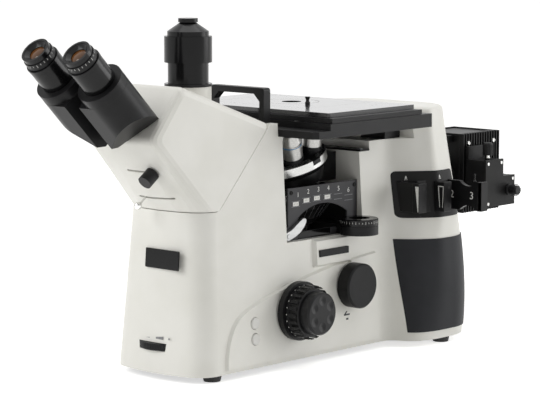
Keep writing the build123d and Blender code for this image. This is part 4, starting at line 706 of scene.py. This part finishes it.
class MicroscopeNumberPanel(bpy.types.Operator):
    """Adds the numbers, label frames, cards and screws of the number panel, dark sheets of painted shade on
    the bay's walls, and the bay's sill
    """
    bl_idname = "microscope.number_panel"
    bl_label = "Number panel"

    def execute(self, context):
        s = settings()
        numbers = ((-33.8, 205.8), (-15.0, 208.4), (4.0, 209.3), (22.7, 209.2), (42.0, 207.0), (60.8, 203.6))
        labels = ((-38.0, 195.2), (-18.4, 197.9), (1.1, 198.9), (20.8, 198.7), (40.9, 197.4), (60.9, 194.4))
        objectives = 4
        lines = bmesh.new()
        cards = bmesh.new()
        for i, ((y, z), (fy, fz)) in enumerate(zip(numbers, labels)):
            numeral(f"panel_number_{i + 1}", str(i + 1), facing((NUMBER_FACE + 0.05, y, z), REAR, RIGHT),
                    s.numeral_height, "white_ink", "stand")
            place = facing((NUMBER_FACE, fy, fz), REAR, RIGHT)
            for edge in (-3.2, 3.2):
                prism(lines, place @ Matrix.Translation((0, edge, 0)), rounded(15.5, 0.55, 0.1, 2), 0.12)
            if i < objectives:
                prism(cards, place, rounded(10.5, 5.0, 0.5, 3), 0.25, bevel=0.08)
                for j in (-1, 0, 1):
                    prism(lines, place @ Matrix.Translation((j * 2.6, 0, 0.28)), rounded(0.5, 2.2, 0.1, 2),
                          0.05)
        piece("label_frames", lines, "grey_ink", "stand", smooth=False)
        piece("label_cards", cards, "label", "stand", smooth=False)
        mesh = bmesh.new()
        for y, z in ((-46.5, 209.5), (71.8, 209.5), (71.8, 157.0)):
            screw(mesh, (NUMBER_FACE, y, z), RIGHT, 2.6, 1.5)
        piece("panel_screws", mesh, "void", "stand")
        # Thin near-black sheets along the bay's left and rear walls: painted shade, where the deep bay falls
        # dark.
        mesh = bmesh.new()
        slab(mesh, (-57, -61, 151.3), (-54.6, 77.4, 215), 0.3)
        slab(mesh, (-54.6, 75, 151.3), (54.4, 77.4, 205), 0.3)
        piece("bay_walls_painted_shade", mesh, "void", "stand", smooth=False)
        mesh = bmesh.new()
        slab(mesh, (56.8, -33.6, 151.3), (57.15, 26.0, 160.1), 0.08)
        piece("bay_sill", mesh, "plate", "stand", smooth=False)
        return {"FINISHED"}


class MicroscopeContrastWheel(bpy.types.Operator):
    """Turns the contrast wheel as a cone that widens upwards, with fine rays on its flank"""
    bl_idname = "microscope.contrast_wheel"
    bl_label = "Contrast wheel"

    def execute(self, context):
        mesh = bmesh.new()
        turned(mesh, WHEEL, UP, [
            (12, 164), (35, 164), (36, 165), (36, 169.6), (39.5, 170.4), (40.5, 171.6), (53.2, 189.5),
            (53.7, 190.5), (53.7, 194.6), (53.3, 195), (12, 195)], 96)
        made = piece("contrast_wheel_cone", mesh, "bright_anodised", "contrast_wheel")
        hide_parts("contrast_turret")
        mesh = bmesh.new()
        for out in around(36):
            low = WHEEL + UP * 172.2 + out * 41.1
            high = WHEEL + UP * 189.2 + out * 53.1
            way = (high - low).normalized()
            normal = Vector((out.x * way.z, out.y * way.z, -way.dot(out)))
            prism(mesh, facing((low + high) / 2, way, normal), bar((high - low).length, 0.24), 0.08)
        piece("contrast_wheel_rays", mesh, "grey_ink", "contrast_wheel", smooth=False)
        return {"FINISHED"}


class MicroscopePathLever(bpy.types.Operator):
    """Builds the curved light path lever, of nickel plated steel, with its hub"""
    bl_idname = "microscope.path_lever"
    bl_label = "Light path lever"

    def execute(self, context):
        mesh = bmesh.new()
        hub = Vector((-56.0, 157.5))
        turns = [radians(90 + 15 * i) for i in range(13)]
        eye = [(hub.x + 5.6 * cos(a), hub.y + 5.6 * sin(a)) for a in turns]
        lower = [(-50.0, 153.4), (-42.0, 156.2), (-34.0, 160.4), (-27.6, 166.0), (-23.4, 172.0)]
        upper = [(-23.0, 175.2), (-25.4, 177.4), (-29.6, 177.2), (-36.0, 173.6), (-43.0, 169.4),
                 (-50.5, 165.4)]
        prism(mesh, facing((57.6, 0, 0), REAR, RIGHT), eye + lower + upper, 4.2, bevel=0.8)
        turned(mesh, (54.6, hub.x, hub.y), RIGHT, [(0.01, 0), (2.4, 0), (2.4, 3.1), (0.01, 3.1)], 24)
        turned(mesh, (61.8, hub.x, hub.y), RIGHT,
               [(0.01, 0), (2.9, 0), (2.9, 0.6), (2.4, 1.0), (0.01, 1.0)], 24)
        made = piece("light_path_lever_bent", mesh, "lever_steel", "path_lever")
        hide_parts("light_path_lever")
        return {"FINISHED"}


class MicroscopeOpticsTrim(bpy.types.Operator):
    """Builds the objective sleeves, and adds the turret band, grips, rings and the polariser's marks"""
    bl_idname = "microscope.optics_trim"
    bl_label = "Optics trim"

    def execute(self, context):
        mesh = bmesh.new()
        rim = TURRET_RADIUS
        turned(mesh, TURRET_HUB, TURRET_AXIS,
               [(rim, -16.0), (52.4, -15.8), (52.4, -11.4), (rim, -11.2)], 96)
        notch = radians(16)
        turned(mesh, TURRET_HUB, TURRET_AXIS,
               [(rim, -11.4), (52.4, -11.4), (52.4, -5.5), (52.0, -5.3), (45.2, -3.1), (45.0, -3.5)],
               96, radians(9), 2 * pi - notch)
        piece("turret_rim_band", mesh, "silver", "turret")
        seats_and_lengths = ((2, 33.5), (1, 31.0), (0, 28.0), (5, 22.0))
        for number, (place, length) in enumerate(seats_and_lengths):
            spot, way = seat(place)
            low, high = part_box(f"objective_{number + 1}")
            corners = [Vector((x, y, z)) for x in (low.x, high.x) for y in (low.y, high.y)
                       for z in (low.z, high.z)]
            reach = max((corner / MM - spot).dot(way) for corner in corners)
            reach = min(reach, length * 1.25)
            mesh = bmesh.new()
            turned(mesh, spot, way, [
                (3.5, -4.5), (12.0, -4.5), (12.0, 0.35), (13.4, 0.4), (13.4, length * 0.78),
                (12.9, length * 0.8), (12.9, length * 0.86), (9.0, reach - 2.4), (6.0, reach - 0.6),
                (3.6, reach - 0.6), (3.5, reach - 2.0)], 72)
            made = piece(f"objective_sleeve_{number + 1}", mesh, "barrel", "turret")
            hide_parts(f"objective_{number + 1}")
            mesh = bmesh.new()
            across = basis(way, spot).to_3x3()
            for out in around(48, across.col[0], across.col[1]):
                prism(mesh, facing(spot + way * 2.6 + out * 13.45, way, out), bar(3.8, 1.0), 0.35, bevel=0.15)
            turned(mesh, spot, way, [(13.5, 0.3), (13.62, 0.4), (13.62, 6.6), (13.5, 6.8)], 64)
            piece(f"objective_grip_{number + 1}", mesh, "anodised", "turret", smooth=False)
            mesh = bmesh.new()
            turned(mesh, spot, way, [(13.3, length * 0.715), (13.55, length * 0.718),
                                     (13.55, length * 0.75), (13.3, length * 0.753)], 64)
            ink = "blue_ink" if number == 0 else "dark_ink"
            piece(f"objective_ring_{number + 1}", mesh, ink, "turret")
        mesh = bmesh.new()
        for i, way in enumerate(around(36)):
            long = 3.4 if i % 3 == 0 else 1.8
            prism(mesh, facing(POLARISER + UP * 167.4 + way * 23.8, UP, way), bar(long, 0.44), 0.08)
        piece("polariser_scale", mesh, "white_ink", "polariser_dial", smooth=False)
        mesh = bmesh.new()
        way = Vector((cos(radians(36)), sin(radians(36)), 0))
        spot = strike("polariser_tray", POLARISER + UP * 161.4 + way * 60, -way)
        turned(mesh, spot - way * 0.2, way, [(0.01, 0), (1.7, 0), (1.7, 0.7), (1.2, 1.1), (0.01, 1.1)], 24)
        piece("polariser_index", mesh, "white_ink", "polariser_slide")
        return {"FINISHED"}


class MicroscopeFocusTrim(bpy.types.Operator):
    """Builds the ribbed coarse knobs with their dots, and adds the ribs of the intensity dial"""
    bl_idname = "microscope.focus_trim"
    bl_label = "Focus trim"

    def execute(self, context):
        s = settings()
        ring_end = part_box("tension_ring")[1].x / MM
        coarse_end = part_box("coarse_knobs")[1].x / MM
        dots = bmesh.new()
        coarse = bmesh.new()
        for way in (1, -1):
            axis = RIGHT * way
            start = ring_end + 0.4 if way > 0 else skin_x("side_covers", -98.0, FOCUS_AXIS.z) + 0.6
            ribbed(coarse, FOCUS_AXIS, axis, [
                (5.5, start), (31.6, start), (31.8, start + 0.4), (31.8, start + 3.6), (29.6, start + 4.4),
                (29.6, coarse_end - 0.9), (28.8, coarse_end), (5.5, coarse_end)], 24, 1.1,
                   start + 5.2, coarse_end - 1.4)
            for out in around(s.coarse_dots, REAR, UP):
                turned(dots, FOCUS_AXIS + axis * (start + 2.0) + out * 31.75, out,
                       [(0.01, 0), (0.75, 0), (0.75, 0.2), (0.01, 0.2)], 12)
        made = piece("coarse_knobs_ribbed", coarse, "knob", "coarse_focus")
        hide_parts("coarse_knobs")
        piece("coarse_dots", dots, "white_ink", "coarse_focus")
        mesh = bmesh.new()
        dial_centre = Vector((0, -194.274, 39.8))
        for out in around(s.dial_ribs):
            prism(mesh, facing(dial_centre + out * 39.8, UP, out), bar(7.6, 1.6), 0.75, bevel=0.4)
        piece("dial_ribs", mesh, "knob", "dial", smooth=False)
        return {"FINISHED"}


class MicroscopeIlluminatorTrim(bpy.types.Operator):
    """Builds the sliders' blocks and the notched filter slider, with their wedges, numbers and pictograms"""
    bl_idname = "microscope.illuminator_trim"
    bl_label = "Illuminator trim"

    def execute(self, context):
        for text, x in (("2", 111.1), ("3", 142.3)):
            place = facing((x, 200.95, 189.8), RIGHT, -REAR)
            numeral("filter_number_" + text, text, place, 13.5, "white_ink", "filters")
        # A near-black sheet laid just off the panel where the sliders run: painted shade for the dark recess
        # and the sliders' shadow.
        low, high = 169.6, 209.4
        mesh = bmesh.new()
        rows = []
        for y in (134.0, 140.0, 146.0, 152.0, 158.0, 164.0, 169.0):
            beside = 133.0 if y < 150 else 163.0 + (y - 152) * 0.2
            edge = [(skin_x("illuminator_panel", beside, z) + 0.25, y, z) for z in (low, high)]
            rows.append([mesh.verts.new(corner) for corner in edge])
        for one, two in zip(rows, rows[1:]):
            mesh.faces.new([one[0], two[0], two[1], one[1]])
        piece("slider_recess_painted_shade", mesh, "void", "stand", smooth=False)
        for label, body, node, y, front, rear, outer, push in (
                ("field_slider_block", "field_slider", "field_stop_slider", 141.0, 135.8, 152.2, 109.0, 10.0),
                ("aperture_slider_block", "aperture_stop", "aperture_slider", 178.0, 170.3, 185.8, 122.4,
                 0.0)):
            start = max(skin_x("illuminator_panel", edge, 189.5) for edge in (133.0, y + 10)) + 0.4
            start = min(start + push, outer - 6)
            mesh = bmesh.new()
            slab(mesh, (-15, y - 3, 171), (start + 0.2, y + 3, 208), 0.3)
            slab(mesh, (start, front, 170.6), (outer, rear, 208.2), 0.5)
            made = piece(label, mesh, "anodised", body, smooth=False)
            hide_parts(node)
            # Thin near-black discs on the blocks' ends: painted shade inside their holes.
            mesh = bmesh.new()
            for z in (201.0, 178.0):
                turned(mesh, (outer, (front + rear) / 2 + 2, z), RIGHT,
                       [(0.01, 0), (2.3, 0), (2.3, 0.06), (0.01, 0.06)], 24)
            piece(label + "_hole_shade", mesh, "void", body, smooth=False)
        mesh = bmesh.new()
        prism(mesh, facing((0, 135.8, 0), RIGHT, -REAR),
              [(107.6, 172.5), (108.5, 172.5), (108.7, 204.5), (103.2, 204.5)], 0.06)
        piece("field_slider_wedge", mesh, "white_ink", "field_slider", smooth=False)
        mesh = bmesh.new()
        for edge in ([(115.2, 176.0), (116.0, 176.0), (114.0, 203.0), (112.4, 203.0)],
                     [(119.6, 176.0), (120.2, 176.0), (121.6, 203.0), (120.6, 203.0)],
                     [(112.4, 202.2), (121.6, 202.2), (121.6, 203.4), (112.4, 203.4)]):
            prism(mesh, facing((0, 170.3, 0), RIGHT, -REAR), edge, 0.06)
        piece("aperture_slider_wedge", mesh, "white_ink", "aperture_stop", smooth=False)
        notch = []
        for i in range(9):
            a = radians(-42 - 96 * i / 8)
            notch.append((137.0 + 18.7 * cos(a), 208.0 + 12.5 + 18.7 * sin(a)))
        top = [(157.6, 208.0)] + notch + [(-15.0, 208.0)]
        low = [(x, 379.0 - z) for x, z in reversed(top)]
        mesh = bmesh.new()
        prism(mesh, facing((0, 207.0, 0), RIGHT, -REAR), low + top, 6.0, bevel=0.0)
        slab(mesh, (152.8, 201.0, 171.0), (157.8, 214.6, 208.0), 0.5)
        made = piece("filter_slider_plate", mesh, "anodised", "filters", smooth=False)
        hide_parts("filter_slider")
        mesh = bmesh.new()
        turned(mesh, (145.0, 204.0, 207.9), UP, [
            (0.01, 0), (1.9, 0), (1.9, 1.2), (0.8, 1.8), (0.8, 8.4), (1.2, 8.8), (1.2, 9.8), (0.6, 10.4),
            (0.01, 10.4)], 24)
        piece("filter_slider_stop", mesh, "bright_anodised", "filters")
        mesh = bmesh.new()
        for y, z in ((147.0, 213.3), (184.0, 213.6)):
            x = skin_x("illuminator_panel", y, z)
            slope = (skin_x("illuminator_panel", y, z + 2) - skin_x("illuminator_panel", y, z - 2)) / 4
            turn = (skin_x("illuminator_panel", y + 2, z) - skin_x("illuminator_panel", y - 2, z)) / 4
            place = facing((x + 0.02, y, z), (turn, 1, 0), (1, -turn, -slope))
            prism(mesh, place, [(-1.6, -1.8), (1.6, -1.8), (0.5, 1.8), (-0.5, 1.8)], 0.1)
            prism(mesh, place @ Matrix.Translation((0, -2.9, 0)), bar(4.4, 0.6), 0.1)
        piece("slider_pictograms", mesh, "white_ink", "stand", smooth=False)
        return {"FINISHED"}


class MicroscopeLampHouse(bpy.types.Operator):
    """Builds the finned lamp house, its connector, the holder with its cover plate and the centring knobs"""
    bl_idname = "microscope.lamp_house"
    bl_label = "Lamp house"

    def execute(self, context):
        front, rear, low, high = 318.2, 397.2, 147.0, 252.6
        mesh = bmesh.new()
        slab(mesh, (-39, front, low), (-36, rear, high - 1.8))
        slab(mesh, (-36.5, front, low), (32, front + 3, high - 1.8))
        slab(mesh, (-36.5, rear - 3, low), (32, rear, high - 1.8))
        slab(mesh, (-36.5, front + 2.5, high - 4.5), (32, rear - 2.5, high - 1.8))
        slab(mesh, (-36.5, front + 2.5, low), (32, rear - 2.5, low + 3))
        slab(mesh, (29.5, front + 2.5, low + 2.5), (32.3, rear - 2.5, high - 4.0), 0.2)
        slab(mesh, (-39, front, high - 2.4), (-35.6, rear, high))
        slab(mesh, (-36, front, high - 2.4), (32.4, front + 3.4, high))
        slab(mesh, (-36, rear - 3.4, high - 2.4), (32.4, rear, high))
        slab(mesh, (29, front + 3, high - 2.4), (32.4, rear - 3, high))
        fins = 15
        pitch = (rear - front - 2.4) / (fins - 1)
        for i in range(fins):
            slab(mesh, (31.8, front + pitch * i, low), (39, front + pitch * i + 2.4, high), 0.35)
        made = piece("lamp_house_finned", mesh, "cast_fin", "stand", smooth=False)
        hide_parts("lamp_house")
        mesh = bmesh.new()
        slab(mesh, (-20.8, 309, 241), (20.8, 318.4, 250), 0.6)
        piece("lamp_connector", mesh, "abs", "stand", smooth=False)
        mesh = bmesh.new()
        slab(mesh, (39.2, 322, 157.5), (71.5, 358.5, 219), 0.5)
        slab(mesh, (39.2, 358, 157.5), (71.5, 384, 196), 0.5)
        slab(mesh, (39.2, 322, 218.5), (44.8, 352.7, 236.5), 0.5)
        made = piece("lamp_holder_block", mesh, "abs", "stand", smooth=False)
        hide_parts("lamp_holder")
        mesh = bmesh.new()
        prism(mesh, facing((71.5, 0, 0), REAR, RIGHT), [
            (320.6, 156.9), (384.4, 156.9), (384.4, 196.4), (359, 196.4), (359, 219.6), (320.6, 219.6)], 3.0)
        piece("lamp_holder_cover", mesh, "panel_enamel", "stand", smooth=False)
        mesh = bmesh.new()
        for y, z in ((325.5, 214.8), (354.0, 214.8), (379.5, 191.6), (325.5, 161.6)):
            screw(mesh, (74.5, y, z), RIGHT, 2.3, 1.3)
        for y, z in ((328.8, 240), (383.2, 240.2)):
            screw(mesh, (39.0, y, z), RIGHT, 2.8, 1.6)
        piece("lamp_house_screws", mesh, "chrome", "stand")
        mesh = bmesh.new()
        turned(mesh, (63, 339.5, 221.0), UP, [
            (2.2, 0.2), (3.0, 0.2), (3.0, 1.4), (2.5, 1.6), (2.5, 3.6), (2.2, 3.6)], 32)
        piece("lamp_knob_stem", mesh, "chrome", "lamp_screw_vertical")
        mesh = bmesh.new()
        ribbed(mesh, (63, 339.5, 219.0), UP, [
            (0.01, 0.3), (4.2, 0.3), (4.2, 1.6), (2.2, 2.2), (2.2, 5.4), (6.1, 5.8), (6.1, 21.4), (5.4, 22.4),
            (0.01, 22.4)], 18, 0.35, 7.0, 20.6)
        made = piece("lamp_knob_vertical_ribbed", mesh, "knob", "lamp_screw_vertical")
        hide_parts("lamp_knob_vertical")
        mesh = bmesh.new()
        ribbed(mesh, (74.8, 370.5, 177.3), RIGHT, [
            (0.01, 0), (7.4, 0), (7.4, 2.6), (6.1, 3.4), (6.1, 15.4), (5.4, 16.4), (0.01, 16.4)],
               18, 0.35, 5.0, 14.0)
        made = piece("lamp_knob_side_ribbed", mesh, "knob", "lamp_screw_side")
        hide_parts("lamp_knob_side")
        return {"FINISHED"}


class MicroscopeSideMarks(bpy.types.Operator):
    """Adds the small arrow on the side cover"""
    bl_idname = "microscope.side_marks"
    bl_label = "Side marks"

    def execute(self, context):
        mesh = bmesh.new()
        x = skin_x("side_covers", 36.5, 50.8)
        slope = (skin_x("side_covers", 36.5, 54) - skin_x("side_covers", 36.5, 48)) / 6
        place = facing((x + 0.02, 36.5, 50.8), REAR, (1, 0, -slope))
        prism(mesh, place, [(-6.0, -0.2), (5.2, -0.2), (5.2, 1.7), (-6.0, 1.7)], 0.08)
        prism(mesh, place, [(-6.2, 0.8), (-1.4, 5.2), (1.0, 5.2), (-3.0, 0.8)], 0.08)
        prism(mesh, place @ Matrix.Translation((0, -4.6, 0)), rounded(4.4, 2.4, 0.5, 3), 0.06)
        piece("side_arrow", mesh, "dark_ink", "stand", smooth=False)
        return {"FINISHED"}


class MicroscopePanel(bpy.types.Panel):
    """Lists the dressing's settings and steps"""
    bl_label = "Microscope"
    bl_idname = "VIEW3D_PT_microscope"
    bl_space_type = "VIEW_3D"
    bl_region_type = "UI"
    bl_category = "Microscope"

    def draw(self, context):
        for key in MicroscopeSettings.__annotations__:
            self.layout.prop(context.scene.microscope, key)
        for step in STEPS:
            self.layout.operator(step.bl_idname)


STEPS = (
    MicroscopeFinishes,
    MicroscopeStudio,
    MicroscopeHeadMarks,
    MicroscopeEyepieceTrim,
    MicroscopeStageSupports,
    MicroscopeNumberPanel,
    MicroscopeContrastWheel,
    MicroscopePathLever,
    MicroscopeOpticsTrim,
    MicroscopeFocusTrim,
    MicroscopeSideMarks,
    MicroscopeIlluminatorTrim,
    MicroscopeLampHouse,
)


def register():
    """Registers the settings, the steps and the panel."""
    bpy.utils.register_class(MicroscopeSettings)
    bpy.types.Scene.microscope = bpy.props.PointerProperty(type=MicroscopeSettings)
    for step in STEPS:
        bpy.utils.register_class(step)
    bpy.utils.register_class(MicroscopePanel)


def unregister():
    """Takes them out again."""
    bpy.utils.unregister_class(MicroscopePanel)
    for step in reversed(STEPS):
        bpy.utils.unregister_class(step)
    del bpy.types.Scene.microscope
    bpy.utils.unregister_class(MicroscopeSettings)


def main():
    """Runs every step in order."""
    register()
    for step in STEPS:
        group, name = step.bl_idname.split(".")
        getattr(getattr(bpy.ops, group), name)()


if __name__ == "__main__":
    main()
